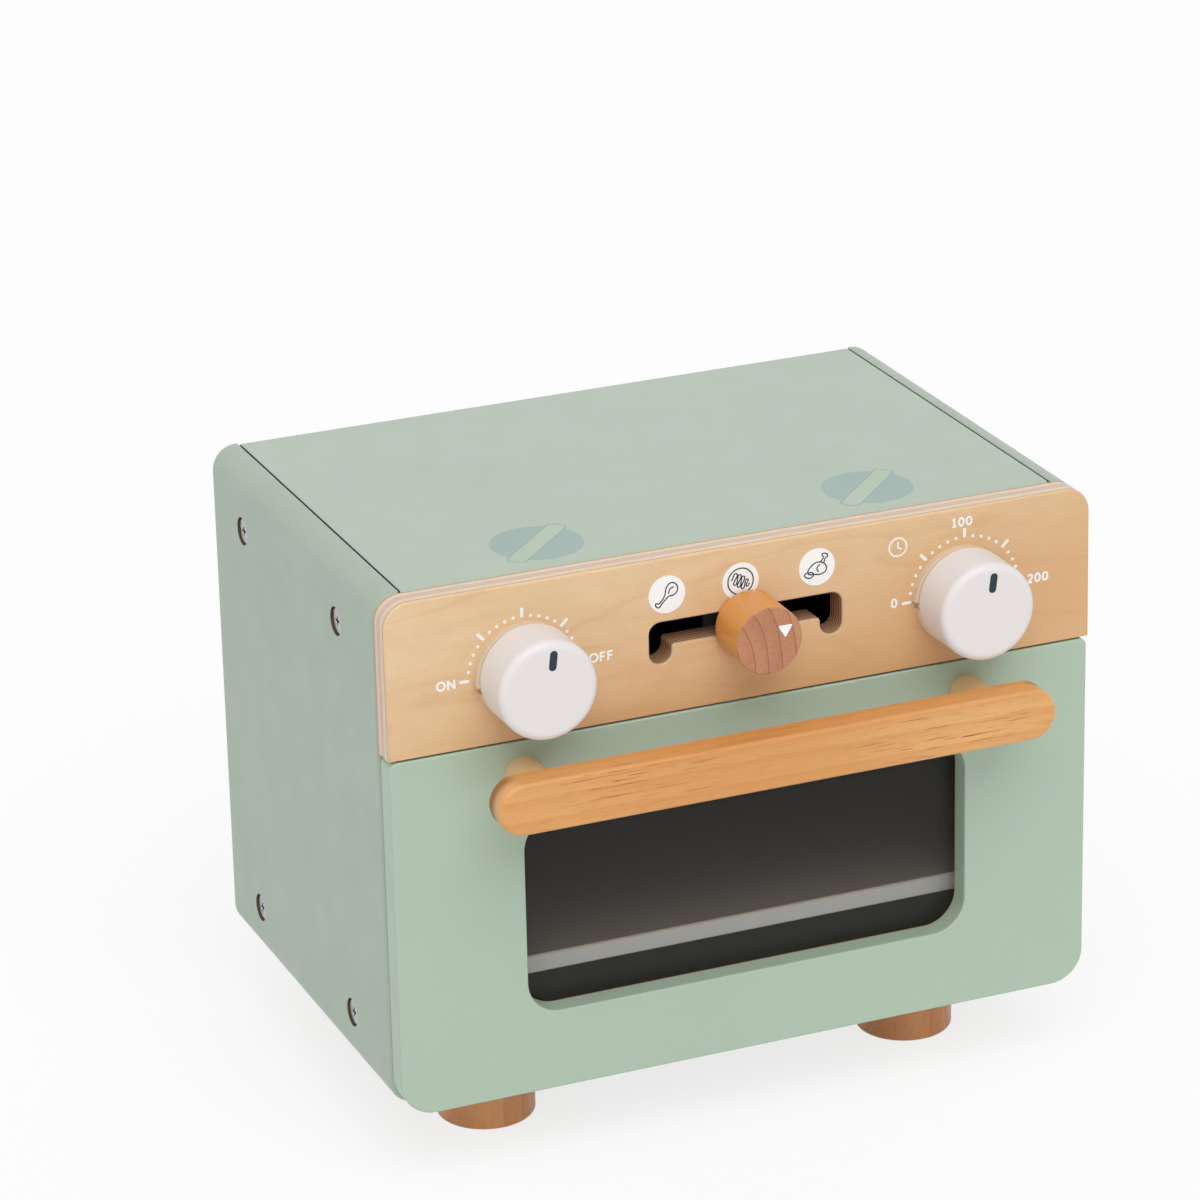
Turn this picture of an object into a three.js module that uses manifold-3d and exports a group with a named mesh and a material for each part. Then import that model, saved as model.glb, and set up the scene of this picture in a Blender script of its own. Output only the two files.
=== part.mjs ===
// Wooden toy oven: green painted carcass, plywood control panel, drop-down door with a window.
// Lengths in millimetres, front facing -Y, +Z up. Pieces are laid out from a datum at the middle
// of the control panel's front plane, level with the underside of the carcass.
import * as THREE from 'three';
import { mergeVertices } from 'three/addons/utils/BufferGeometryUtils.js';
import Module from 'manifold-3d';

const wasm = await Module();
wasm.setup();

// Driving sizes of the whole toy
const WIDTH = 280;
const BODY_HEIGHT = 201.5;
const DEPTH = 187;
const FOOT_HEIGHT = 30;
const BOARD = 10.5;
const CORNER_FLAT = 0.9;
const FASCIA_BOARD = 11;
const SEAT_GAP = 0.2;
const EASED_EDGE = 0.8;
const SOFT_EDGE = 2.5;
const OVERRUN = 1;
const LEAST_FLAT = 0.1;
const MERGE_REACH = 1e-4;
const FULL_TURN = Math.PI * 2;
const RIGHT_ANGLE = Math.PI / 2;

// Back board, divider, battens, runners and shelf inside the outer shell
const BACK_BOARD = 6;
const BACK_INSET = 0.5;
const REBATE = 5;
const DIVIDER_BOARD = 10;
const DIVIDER_LAP = 0.7;
const BATTEN_WIDTH = 20;
const BATTEN_TALL = 26;
const BATTEN_LOW_TALL = 21.4;
const BATTEN_INSET_FRONT = 40;
const BATTEN_INSET_REAR = 33;
const RUNNER_WIDTH = 9;
const RUNNER_TALL = 9.3;
const RUNNER_SETBACK = 2;
const SHELF_BOARD = 7.2;
const SHELF_SETBACK = 3;

// Connecting screws through the side panels
const SCREW_HEAD_R = 5.1;
const SCREW_HEAD_TALL = 2.4;
const SCREW_HEAD_DOME = 0.7;
const SCREW_SHANK_R = 2.5;
const SCREW_CLEARANCE = 0.2;
const SCREW_RECESS_CLEARANCE = 0.4;
const SCREW_RECESS_DEPTH = 3.2;
const SCREW_LENGTH = 36;
const CROSS_SPAN = 5.6;
const CROSS_WIDTH = 1.2;
const CROSS_DEPTH = 1.3;

// Feet
const FOOT_R = 18.9;
const FOOT_EDGE = 1.5;
const FOOT_INSET = 52;
const FOOT_BORE_CLEARANCE = 1.7;
const FOOT_BORE_DEPTH = 10;
const FOOT_SCREW_LENGTH = 36;

// Control panel
const FASCIA_TALL = 59.7;
const CONTROL_RISE = 26.4;
const SPINDLE_INSET = 53.2;
const SPINDLE_HOLE_CLEARANCE = 1.5;
const SLOT_HALF = 38.4;
const SLOT_RISE = 26.3;
const SLOT_TALL = 9;
const NOTCH_R = 4.4;
const NOTCH_DEEP = 7.1;
const TOOTH_CORNER = 1.5;

// Rotary knobs and their click rings
const KNOB_R = 18.9;
const KNOB_FRONT = 23.5;
const KNOB_EDGE = 3;
const KNOB_REAR_EDGE = 0.4;
const RING_R = 20;
const RING_STEP = 1;
const RING_TALL = 3.4;
const RING_EDGE = 0.5;
const RING_NOTCH_TALL = 2.6;
const RING_NOTCH_DEEP = 2.4;
const RING_NOTCH_DROP = 2.2;
const SPINDLE_R = 3;
const SPINDLE_DEEP = 12;
const SPINDLE_HEAD_R = 6;
const SPINDLE_HEAD_TALL = 2.6;
const WASHER_R = 8.5;
const WASHER_TALL = 1.2;
const BORE_CLEARANCE = 0.15;

// Selector that hangs in the notched slot
const SELECTOR_R = 12.9;
const SELECTOR_FRONT = 20.3;
const SELECTOR_EDGE = 1;
const STEM_R = 3;
const STEM_DEEP = 13;
const STEM_HEAD_R = 5;
const STEM_HEAD_TALL = 2.6;
const PLATE_HALF = 12;
const PLATE_TALL = 2;
const PLATE_CORNER = 2;
const SLIDING_GAP = 0.3;

// Door and its window
const DOOR_SIDE_GAP = 0.4;
const DOOR_TOP_GAP = 0.8;
const DOOR_BOARD = 10;
const DOOR_CORNER_BOTTOM = 13;
const DOOR_CORNER_TOP = 3;
const DOOR_EDGE = 0.9;
const WINDOW_STILE = 50.6;
const WINDOW_SILL = 31.3;
const WINDOW_HEAD = 31;
const WINDOW_CORNER = 13;
const PANE_LAP = 8;
const PANE_SHEET = 2;
const PANE_PROUD = 0.5;
const PANE_CORNER = 6;

// Handle
const HANDLE_REACH = 32;
const BAR_LENGTH = 221;
const BAR_TALL = 20;
const BAR_DEEP = 12;
const BAR_EDGE = 1.8;
const BAR_DROP = 12.6;
const POST_INSET = 21.5;
const POST_R = 7;
const HANDLE_SCREW_R = 2.1;
const HANDLE_SCREW_HEAD_R = 4.1;
const HANDLE_SCREW_HEAD_TALL = 2.2;
const HANDLE_SCREW_SUNK = 3;
const HANDLE_SCREW_BITE = 8;

// Butt hinges and magnetic catches
const HINGE_INSET = 55;
const HINGE_HALF = 15;
const HINGE_KNUCKLE_HALF = 4.9;
const HINGE_LEAF = 0.75;
const HINGE_SUNK = 0.3;
const HINGE_LEAF_MARGIN = 1.1;
const HINGE_LEAF_FOOT = 0.4;
const KNUCKLE_R = 2;
const KNUCKLE_DROP = 0.05;
const PIN_R = 0.95;
const MAGNET_INSET = 80;
const MAGNET_R = 3.6;
const MAGNET_TALL = 4;
const MAGNET_PROUD = 0.3;
const STRIKE_R = 3.8;
const STRIKE_TALL = 0.8;
const STRIKE_PROUD = 0.3;
const STRIKE_MARGIN = 0.6;

// Facets of the round forms
const FINE_SIDES = 40;
const ROUND_SIDES = 28;
const RECESS_SIDES = 18;
const SMALL_SIDES = 14;
const ARC_STEPS = 4;
const EDGE_STEPS = 2;
const PLAIN_STEPS = 1;

// Derived places: across
const HALF = WIDTH / 2;
const INNER_X = HALF - BOARD;
const LEVEL_HALF = INNER_X - SEAT_GAP / 2;
const OUTER_CORNER = BOARD - CORNER_FLAT;
const SIDE_EDGE = Math.min(EASED_EDGE, CORNER_FLAT - LEAST_FLAT);
const FOOT_X = HALF - FOOT_INSET;
const SPINDLE_X = HALF - SPINDLE_INSET;
const HINGE_X = HALF - HINGE_INSET;
const MAGNET_X = HALF - MAGNET_INSET;
const DOOR_HALF = HALF - DOOR_SIDE_GAP;
const WINDOW_HALF = DOOR_HALF - WINDOW_STILE;
const POST_X = BAR_LENGTH / 2 - POST_INSET;
const NOTCH_STATION = SLOT_HALF - NOTCH_R;

// Derived places: front to back
const BACK_FRONT = DEPTH - BACK_INSET - BACK_BOARD;
const BATTEN_Y_FRONT = FASCIA_BOARD + BATTEN_INSET_FRONT;
const BATTEN_Y_REAR = DEPTH - BATTEN_INSET_REAR;
const SHELF_FRONT = FASCIA_BOARD + SHELF_SETBACK;
const HINGE_Y = (DOOR_BOARD + FASCIA_BOARD) / 2;

// Derived places: up from the underside of the carcass
const CEILING = BODY_HEIGHT - BOARD;
const FASCIA_BOTTOM = BODY_HEIGHT - FASCIA_TALL;
const DOOR_TOP = FASCIA_BOTTOM - DOOR_TOP_GAP;
const DIVIDER_TOP = FASCIA_BOTTOM + DIVIDER_LAP;
const DIVIDER_BOTTOM = DIVIDER_TOP - DIVIDER_BOARD;
const BATTEN_LOW_TOP = BOARD + BATTEN_LOW_TALL;
const SHELF_BOTTOM = BATTEN_LOW_TOP + RUNNER_TALL;
const SCREW_Z_TOP = CEILING - BATTEN_TALL / 2;
const SCREW_Z_BOTTOM = BOARD + BATTEN_LOW_TALL / 2;
const CONTROL_Z = FASCIA_BOTTOM + CONTROL_RISE;
const SLOT_FLOOR = FASCIA_BOTTOM + SLOT_RISE;
const SLOT_TOP = SLOT_FLOOR + SLOT_TALL;
const SELECTOR_Z = SLOT_FLOOR + STEM_R + SLIDING_GAP;
const WINDOW_TOP = DOOR_TOP - WINDOW_HEAD;
const BAR_Z = DOOR_TOP - BAR_DROP;
const MAGNET_Z = DOOR_TOP - STRIKE_R - STRIKE_MARGIN;
const HINGE_AXIS_Z = -KNUCKLE_R - KNUCKLE_DROP;
const HINGE_LEAF_TOP = BOARD - HINGE_LEAF_MARGIN;
const FOOT_SEAT = FOOT_BORE_DEPTH - FOOT_HEIGHT;
const FOOT_SCREW_WAY = FOOT_SEAT + FOOT_SCREW_LENGTH + OVERRUN;

// Derived bores
const SCREW_HOLE_R = SCREW_SHANK_R + SCREW_CLEARANCE;
const SCREW_RECESS_R = SCREW_HEAD_R + SCREW_RECESS_CLEARANCE;
const FOOT_BORE_R = SCREW_HEAD_R + FOOT_BORE_CLEARANCE;
const SPINDLE_HOLE_R = SPINDLE_R + SPINDLE_HOLE_CLEARANCE;
const PIN_BORE_R = PIN_R + BORE_CLEARANCE;
const SPINDLE_FIT_R = SPINDLE_R + BORE_CLEARANCE;
const STEM_FIT_R = STEM_R + BORE_CLEARANCE;
const HANDLE_SCREW_FIT_R = HANDLE_SCREW_R + BORE_CLEARANCE;

// Directions
const AXIS_X = new THREE.Vector3(1, 0, 0);
const AXIS_Y = new THREE.Vector3(0, 1, 0);
const AXIS_Z = new THREE.Vector3(0, 0, 1);
const AXIS_FRONT = new THREE.Vector3(0, -1, 0);

// Finishes
const finish = (color, roughness, metalness) =>
  new THREE.MeshStandardMaterial({ color, roughness, metalness });
const greenPaint = finish(0xaec0ae, 0.55, 0);
const blackPaint = finish(0x262624, 0.7, 0);
const plywood = finish(0xe2c194, 0.5, 0);
const paleWood = finish(0xd9b27c, 0.55, 0);
const handleWood = finish(0xdfa668, 0.45, 0);
const footWood = finish(0xa8703f, 0.55, 0);
const selectorWood = finish(0xcb8a4c, 0.5, 0);
const whitePaint = finish(0xe6e2e0, 0.4, 0);
const beigePlastic = finish(0xd8c5a8, 0.5, 0);
const silverPaint = finish(0x8d8d8b, 0.45, 0.3);
const darkPlastic = finish(0x3a3a3c, 0.6, 0);
const steel = finish(0xc4c6c8, 0.3, 1);
const smokedPane = finish(0x3c3b39, 0.12, 0);

// Closed solids from mesh geometry, faces turned outward
function solid(geometry) {
  const bare = geometry.clone();
  bare.deleteAttribute('normal');
  bare.deleteAttribute('uv');
  const merged = mergeVertices(bare, MERGE_REACH);
  const place = merged.attributes.position;
  const source = merged.index.array;
  const kept = [];
  let volume = 0;
  const a = new THREE.Vector3();
  const b = new THREE.Vector3();
  const c = new THREE.Vector3();
  for (let i = 0; i < source.length; i += 3) {
    const [p, q, r] = [source[i], source[i + 1], source[i + 2]];
    if (p === q || q === r || p === r) continue;
    kept.push(p, q, r);
    a.fromBufferAttribute(place, p);
    b.fromBufferAttribute(place, q);
    c.fromBufferAttribute(place, r);
    volume += a.dot(b.cross(c));
  }
  if (volume < 0) {
    for (let i = 0; i < kept.length; i += 3) {
      [kept[i + 1], kept[i + 2]] = [kept[i + 2], kept[i + 1]];
    }
  }
  const mesh = new wasm.Mesh({
    numProp: 3,
    vertProperties: new Float32Array(place.array),
    triVerts: new Uint32Array(kept),
  });
  return new wasm.Manifold(mesh);
}

// A drawn outline pushed along one axis from a start to an end, with eased or rounded rims
function pushed(shape, axis, start, end, edge = 0, plain = false) {
  const steps = plain ? PLAIN_STEPS : EDGE_STEPS;
  const body = new THREE.ExtrudeGeometry(shape, {
    depth: end - start - 2 * edge,
    curveSegments: plain ? PLAIN_STEPS : ARC_STEPS,
    bevelEnabled: edge > 0,
    bevelSize: edge,
    bevelThickness: edge,
    bevelOffset: -edge,
    bevelSegments: steps,
  });
  body.translate(0, 0, edge);
  const turn = new THREE.Matrix4();
  if (axis === 'x') turn.makeBasis(AXIS_Y, AXIS_Z, AXIS_X).setPosition(start, 0, 0);
  if (axis === 'y') turn.makeBasis(AXIS_X, AXIS_Z, AXIS_FRONT).setPosition(0, end, 0);
  if (axis === 'z') turn.makeBasis(AXIS_X, AXIS_Y, AXIS_Z).setPosition(0, 0, start);
  body.applyMatrix4(turn);
  return solid(body);
}

// A rectangle with its own radius at each corner, from the lower left anticlockwise
function rounded(left, bottom, right, top, radii) {
  const [ll, lr, ur, ul] = radii;
  const outline = new THREE.Shape();
  outline.moveTo(left + ll, bottom);
  outline.lineTo(right - lr, bottom);
  if (lr > 0) outline.absarc(right - lr, bottom + lr, lr, -RIGHT_ANGLE, 0, false);
  outline.lineTo(right, top - ur);
  if (ur > 0) outline.absarc(right - ur, top - ur, ur, 0, RIGHT_ANGLE, false);
  outline.lineTo(left + ul, top);
  if (ul > 0) outline.absarc(left + ul, top - ul, ul, RIGHT_ANGLE, Math.PI, false);
  outline.lineTo(left, bottom + ll);
  if (ll > 0) outline.absarc(left + ll, bottom + ll, ll, Math.PI, Math.PI + RIGHT_ANGLE, false);
  return outline;
}

const even = (radius) => [radius, radius, radius, radius];

function block(x0, x1, y0, y1, z0, z1) {
  const box = new THREE.BoxGeometry(x1 - x0, y1 - y0, z1 - z0);
  box.translate((x0 + x1) / 2, (y0 + y1) / 2, (z0 + z1) / 2);
  return solid(box);
}

// A turned form: profile points are radius and distance along the axis
function turned(profile, axis, place, sides) {
  const points = profile.map(([radius, along]) => new THREE.Vector2(radius, along));
  const form = new THREE.LatheGeometry(points, sides);
  const turn = new THREE.Matrix4();
  if (axis === 'x') turn.makeBasis(AXIS_Y, AXIS_X, AXIS_Z.clone().negate());
  if (axis === 'y') turn.makeBasis(AXIS_X.clone().negate(), AXIS_Y, AXIS_Z);
  if (axis === 'z') turn.makeBasis(AXIS_X, AXIS_Z, AXIS_FRONT);
  form.applyMatrix4(turn);
  form.translate(...place);
  return solid(form);
}

const rod = (radius, from, to, axis, place, sides) =>
  turned([[0, from], [radius, from], [radius, to], [0, to]], axis, place, sides);

// A quarter round from the first corner point to the last, for turned profiles
function fillet(radius, along, size, sign) {
  const points = [];
  for (let i = 0; i <= EDGE_STEPS; i += 1) {
    const angle = (RIGHT_ANGLE * i) / EDGE_STEPS;
    points.push([radius - size + size * Math.cos(angle), along - sign * size * (1 - Math.sin(angle))]);
  }
  return points;
}

const oven = new THREE.Group();
oven.name = 'toy_oven';

function piece(name, form, material) {
  const data = form.getMesh();
  const shape = new THREE.BufferGeometry();
  shape.setAttribute('position', new THREE.BufferAttribute(new Float32Array(data.vertProperties), 3));
  shape.setIndex(new THREE.BufferAttribute(new Uint32Array(data.triVerts), 1));
  shape.computeVertexNormals();
  const mesh = new THREE.Mesh(shape, material);
  mesh.name = name;
  oven.add(mesh);
  return mesh;
}

const sides = [
  { name: 'left', sign: -1 },
  { name: 'right', sign: 1 },
];

const levels = [
  { name: 'top', bottom: CEILING - BATTEN_TALL, top: CEILING, screwZ: SCREW_Z_TOP, paint: paleWood },
  { name: 'bottom', bottom: BOARD, top: BATTEN_LOW_TOP, screwZ: SCREW_Z_BOTTOM, paint: blackPaint },
];

const rows = [
  { name: 'front', y: BATTEN_Y_FRONT },
  { name: 'rear', y: BATTEN_Y_REAR },
];

const sideScrews = levels.flatMap((level) =>
  rows.map((row) => ({ name: `${level.name}_${row.name}`, y: row.y, z: level.screwZ })));

// The back board drops into a rebate that runs round the rear of the four outer boards
const rebate = block(
  -INNER_X - REBATE, INNER_X + REBATE,
  BACK_FRONT, DEPTH + SOFT_EDGE,
  BOARD - REBATE, CEILING + REBATE,
);

// Side panels: long outer edges rounded to the corner radius, ends softened
function sidePanel(sign) {
  const outer = sign * HALF;
  const [left, right] = [Math.min(outer, sign * INNER_X), Math.max(outer, sign * INNER_X)];
  const round = OUTER_CORNER;
  const square = 0;
  const radii = sign < 0 ? [round, square, square, round] : [square, round, round, square];
  let board = pushed(rounded(left, 0, right, BODY_HEIGHT, radii), 'y', FASCIA_BOARD, DEPTH, SIDE_EDGE);
  for (const screw of sideScrews) {
    const start = sign * (HALF - SCREW_RECESS_DEPTH);
    const bore = rod(SCREW_HOLE_R, -BOARD, BOARD, 'x', [start, screw.y, screw.z], SMALL_SIDES);
    const recess = rod(SCREW_RECESS_R, 0, sign * BOARD, 'x', [start, screw.y, screw.z], RECESS_SIDES);
    board = board.subtract(bore).subtract(recess);
  }
  return board.subtract(rebate);
}

for (const side of sides) piece(`side_panel_${side.name}`, sidePanel(side.sign), greenPaint);

// Top and bottom panels fit between the sides, with a soft front edge on the outer face
const topOutline = rounded(
  FASCIA_BOARD, CEILING, DEPTH, BODY_HEIGHT,
  [EASED_EDGE, EASED_EDGE, SOFT_EDGE, SOFT_EDGE],
);
const bottomOutline = rounded(
  FASCIA_BOARD, 0, DEPTH, BOARD,
  [SOFT_EDGE, SOFT_EDGE, EASED_EDGE, EASED_EDGE],
);
const topPanel = pushed(topOutline, 'x', -LEVEL_HALF, LEVEL_HALF, EASED_EDGE / 2, true).subtract(rebate);
piece('top_panel', topPanel, greenPaint);

let bottomPanel = pushed(bottomOutline, 'x', -LEVEL_HALF, LEVEL_HALF, EASED_EDGE / 2, true).subtract(rebate);
for (const side of sides) {
  for (const row of rows) {
    const place = [side.sign * FOOT_X, row.y, 0];
    const hole = rod(SCREW_HOLE_R, -OVERRUN, BOARD + OVERRUN, 'z', place, SMALL_SIDES);
    bottomPanel = bottomPanel.subtract(hole);
  }
  const mortise = block(
    side.sign * HINGE_X - HINGE_HALF, side.sign * HINGE_X + HINGE_HALF,
    FASCIA_BOARD - OVERRUN, FASCIA_BOARD + HINGE_SUNK,
    -OVERRUN, HINGE_LEAF_TOP + SEAT_GAP,
  );
  bottomPanel = bottomPanel.subtract(mortise);
}
piece('bottom_panel', bottomPanel, greenPaint);

// Back board in its rebate
const backBoard = rounded(
  -INNER_X - REBATE + SEAT_GAP, BOARD - REBATE + SEAT_GAP,
  INNER_X + REBATE - SEAT_GAP, CEILING + REBATE - SEAT_GAP,
  even(EASED_EDGE),
);
const backRear = BACK_FRONT + BACK_BOARD;
piece('back_panel', pushed(backBoard, 'y', BACK_FRONT, backRear, EASED_EDGE / 2, true), greenPaint);

// Ceiling of the oven space, which also stops the door and holds the magnets
const dividerOutline = rounded(FASCIA_BOARD, DIVIDER_BOTTOM, BACK_FRONT, DIVIDER_TOP, even(EASED_EDGE));
let divider = pushed(dividerOutline, 'x', -LEVEL_HALF, LEVEL_HALF, 0, true);
for (const side of sides) {
  const pocket = rod(
    MAGNET_R + BORE_CLEARANCE, -OVERRUN, MAGNET_TALL - MAGNET_PROUD, 'y',
    [side.sign * MAGNET_X, FASCIA_BOARD, MAGNET_Z], SMALL_SIDES,
  );
  divider = divider.subtract(pocket);
}
piece('divider_panel', divider, blackPaint);

// Battens that take the connecting screws at their ends
function batten(level, y) {
  const half = BATTEN_WIDTH / 2;
  const section = rounded(y - half, level.bottom, y + half, level.top, even(EASED_EDGE));
  let bar = pushed(section, 'x', -LEVEL_HALF, LEVEL_HALF, 0, true);
  const reach = SCREW_LENGTH + SCREW_RECESS_DEPTH + OVERRUN;
  for (const side of sides) {
    const start = [side.sign * HALF, y, level.screwZ];
    bar = bar.subtract(rod(SCREW_HOLE_R, 0, -side.sign * reach, 'x', start, SMALL_SIDES));
    if (level.bottom > BOARD) continue;
    const place = [side.sign * FOOT_X, y, 0];
    bar = bar.subtract(rod(SCREW_HOLE_R, 0, FOOT_SCREW_WAY, 'z', place, SMALL_SIDES));
  }
  return bar;
}

for (const level of levels) {
  for (const row of rows) {
    piece(`batten_${level.name}_${row.name}`, batten(level, row.y), level.paint);
  }
}

// Connecting screws with a cross recess, heads sunk in the sides
function crossScrew(headR, headTall, shankR, length, axis, sign, place) {
  const outer = sign * headTall;
  const dome = sign * SCREW_HEAD_DOME;
  const profile = [
    [0, outer], [headR - SCREW_HEAD_DOME, outer], [headR, outer - dome],
    [headR, 0], [shankR, 0], [shankR, -sign * (length - shankR)], [0, -sign * length],
  ];
  let screw = turned(profile, axis, place, SMALL_SIDES);
  const deep = [outer - sign * CROSS_DEPTH, outer + sign * OVERRUN].sort((p, q) => p - q);
  const arms = [[CROSS_SPAN / 2, CROSS_WIDTH / 2], [CROSS_WIDTH / 2, CROSS_SPAN / 2]];
  for (const [wide, tall] of arms) {
    const [x, y, z] = place;
    const arm = axis === 'x'
      ? block(x + deep[0], x + deep[1], y - wide, y + wide, z - tall, z + tall)
      : block(x - wide, x + wide, y - tall, y + tall, z + deep[0], z + deep[1]);
    screw = screw.subtract(arm);
  }
  return screw;
}

for (const side of sides) {
  for (const screw of sideScrews) {
    const seat = side.sign * (HALF - SCREW_RECESS_DEPTH);
    const form = crossScrew(
      SCREW_HEAD_R, SCREW_HEAD_TALL, SCREW_SHANK_R, SCREW_LENGTH, 'x', side.sign, [seat, screw.y, screw.z],
    );
    piece(`side_screw_${side.name}_${screw.name}`, form, steel);
  }
}

// Turned feet with a counterbored screw from below
for (const side of sides) {
  for (const row of rows) {
    const place = [side.sign * FOOT_X, row.y, 0];
    const profile = [
      [0, 0], [FOOT_R - EASED_EDGE, 0], [FOOT_R, -EASED_EDGE],
      ...fillet(FOOT_R, -FOOT_HEIGHT, FOOT_EDGE, -1), [0, -FOOT_HEIGHT],
    ];
    const below = -FOOT_HEIGHT - OVERRUN;
    const bore = rod(SCREW_HOLE_R, below, OVERRUN, 'z', place, SMALL_SIDES);
    const sunk = rod(FOOT_BORE_R, below, FOOT_SEAT, 'z', place, RECESS_SIDES);
    const foot = turned(profile, 'z', place, ROUND_SIDES).subtract(bore).subtract(sunk);
    piece(`foot_${side.name}_${row.name}`, foot, footWood);
    const seat = [side.sign * FOOT_X, row.y, FOOT_SEAT];
    const screw = crossScrew(SCREW_HEAD_R, SCREW_HEAD_TALL, SCREW_SHANK_R, FOOT_SCREW_LENGTH, 'z', -1, seat);
    piece(`foot_screw_${side.name}_${row.name}`, screw, steel);
  }
}

// Shelf on two runners
const runnerFront = SHELF_FRONT + RUNNER_SETBACK;
for (const side of sides) {
  const [inner, outer] = [side.sign * (INNER_X - RUNNER_WIDTH), side.sign * INNER_X];
  const [left, right] = [Math.min(inner, outer), Math.max(inner, outer)];
  const section = rounded(left, BATTEN_LOW_TOP, right, SHELF_BOTTOM, even(EASED_EDGE));
  const runner = pushed(section, 'y', runnerFront, BACK_FRONT - RUNNER_SETBACK, 0, true);
  piece(`shelf_runner_${side.name}`, runner, blackPaint);
}
const shelfOutline = rounded(
  SHELF_FRONT, SHELF_BOTTOM, BACK_FRONT, SHELF_BOTTOM + SHELF_BOARD, even(EASED_EDGE),
);
const shelfHalf = LEVEL_HALF - SEAT_GAP;
piece('shelf', pushed(shelfOutline, 'x', -shelfHalf, shelfHalf, 0, true), silverPaint);

// Slot outline: a level run with a round-bottomed notch at each station
function slotOutline() {
  const stations = [-NOTCH_STATION, 0, NOTCH_STATION];
  const notchZ = SLOT_FLOOR - NOTCH_DEEP + NOTCH_R;
  const slot = new THREE.Path();
  slot.moveTo(-SLOT_HALF, notchZ);
  for (const station of stations) {
    if (station > -NOTCH_STATION) {
      const corner = station - NOTCH_R - TOOTH_CORNER;
      slot.absarc(corner, SLOT_FLOOR - TOOTH_CORNER, TOOTH_CORNER, RIGHT_ANGLE, 0, true);
    }
    slot.absarc(station, notchZ, NOTCH_R, Math.PI, FULL_TURN, false);
    if (station < NOTCH_STATION) {
      const corner = station + NOTCH_R + TOOTH_CORNER;
      slot.absarc(corner, SLOT_FLOOR - TOOTH_CORNER, TOOTH_CORNER, Math.PI, RIGHT_ANGLE, true);
    }
  }
  slot.absarc(NOTCH_STATION, SLOT_TOP - NOTCH_R, NOTCH_R, 0, RIGHT_ANGLE, false);
  slot.absarc(-NOTCH_STATION, SLOT_TOP - NOTCH_R, NOTCH_R, RIGHT_ANGLE, Math.PI, false);
  slot.closePath();
  return slot;
}

function roundHole(x, z, radius) {
  const hole = new THREE.Path();
  hole.absarc(x, z, radius, 0, FULL_TURN, true);
  return hole;
}

// Control panel
const fasciaOutline = rounded(
  -HALF, FASCIA_BOTTOM, HALF, BODY_HEIGHT,
  [0, 0, OUTER_CORNER, OUTER_CORNER],
);
fasciaOutline.holes.push(slotOutline());
for (const side of sides) {
  fasciaOutline.holes.push(roundHole(side.sign * SPINDLE_X, CONTROL_Z, SPINDLE_HOLE_R));
}
piece('fascia', pushed(fasciaOutline, 'y', 0, FASCIA_BOARD, EASED_EDGE), plywood);

// Rotary knobs: click ring on the panel, knob, spindle through the panel and washer behind it
for (const side of sides) {
  const x = side.sign * SPINDLE_X;
  const place = [x, 0, CONTROL_Z];
  const disc = (radius) => turned(
    [[0, 0], [radius, 0], ...fillet(radius, -RING_TALL, RING_EDGE, -1), [0, -RING_TALL]],
    'y', place, FINE_SIDES,
  );
  const front = -RING_TALL - OVERRUN;
  const span = 2 * RING_R;
  const notchZ = CONTROL_Z - RING_NOTCH_DROP;
  const lowerHalf = block(x - span, x + span, front, OVERRUN, CONTROL_Z - span, notchZ);
  let ring = disc(RING_R).subtract(lowerHalf).add(disc(RING_R - RING_STEP));
  ring = ring.subtract(rod(SPINDLE_HOLE_R, front, OVERRUN, 'y', place, SMALL_SIDES));
  for (const each of sides) {
    const [near, far] = [x + each.sign * (RING_R - RING_NOTCH_DEEP), x + each.sign * (RING_R + OVERRUN)];
    const notch = block(
      Math.min(near, far), Math.max(near, far), front, OVERRUN, notchZ - RING_NOTCH_TALL, notchZ,
    );
    ring = ring.subtract(notch);
  }
  piece(`knob_ring_${side.name}`, ring, beigePlastic);

  const rear = -RING_TALL - SEAT_GAP;
  const knobProfile = [
    [0, rear], [KNOB_R - KNOB_REAR_EDGE, rear], [KNOB_R, rear - KNOB_REAR_EDGE],
    ...fillet(KNOB_R, -KNOB_FRONT, KNOB_EDGE, -1), [0, -KNOB_FRONT],
  ];
  const bore = rod(SPINDLE_FIT_R, rear - SPINDLE_DEEP, OVERRUN, 'y', place, SMALL_SIDES);
  piece(`knob_${side.name}`, turned(knobProfile, 'y', place, FINE_SIDES).subtract(bore), whitePaint);

  const washerFront = FASCIA_BOARD + SEAT_GAP;
  const washerRear = washerFront + WASHER_TALL;
  const washer = rod(WASHER_R, washerFront, washerRear, 'y', place, RECESS_SIDES);
  const eye = rod(SPINDLE_FIT_R, washerFront - OVERRUN, washerRear + OVERRUN, 'y', place, SMALL_SIDES);
  piece(`knob_washer_${side.name}`, washer.subtract(eye), steel);

  const tip = rear - SPINDLE_DEEP + SEAT_GAP;
  const end = washerRear + SPINDLE_HEAD_TALL;
  const spindle = [
    [0, tip], [SPINDLE_R, tip], [SPINDLE_R, washerRear],
    [SPINDLE_HEAD_R, washerRear], [SPINDLE_HEAD_R, end - SCREW_HEAD_DOME],
    [SPINDLE_HEAD_R - SCREW_HEAD_DOME, end], [0, end],
  ];
  piece(`knob_spindle_${side.name}`, turned(spindle, 'y', place, SMALL_SIDES), steel);
}

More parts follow.
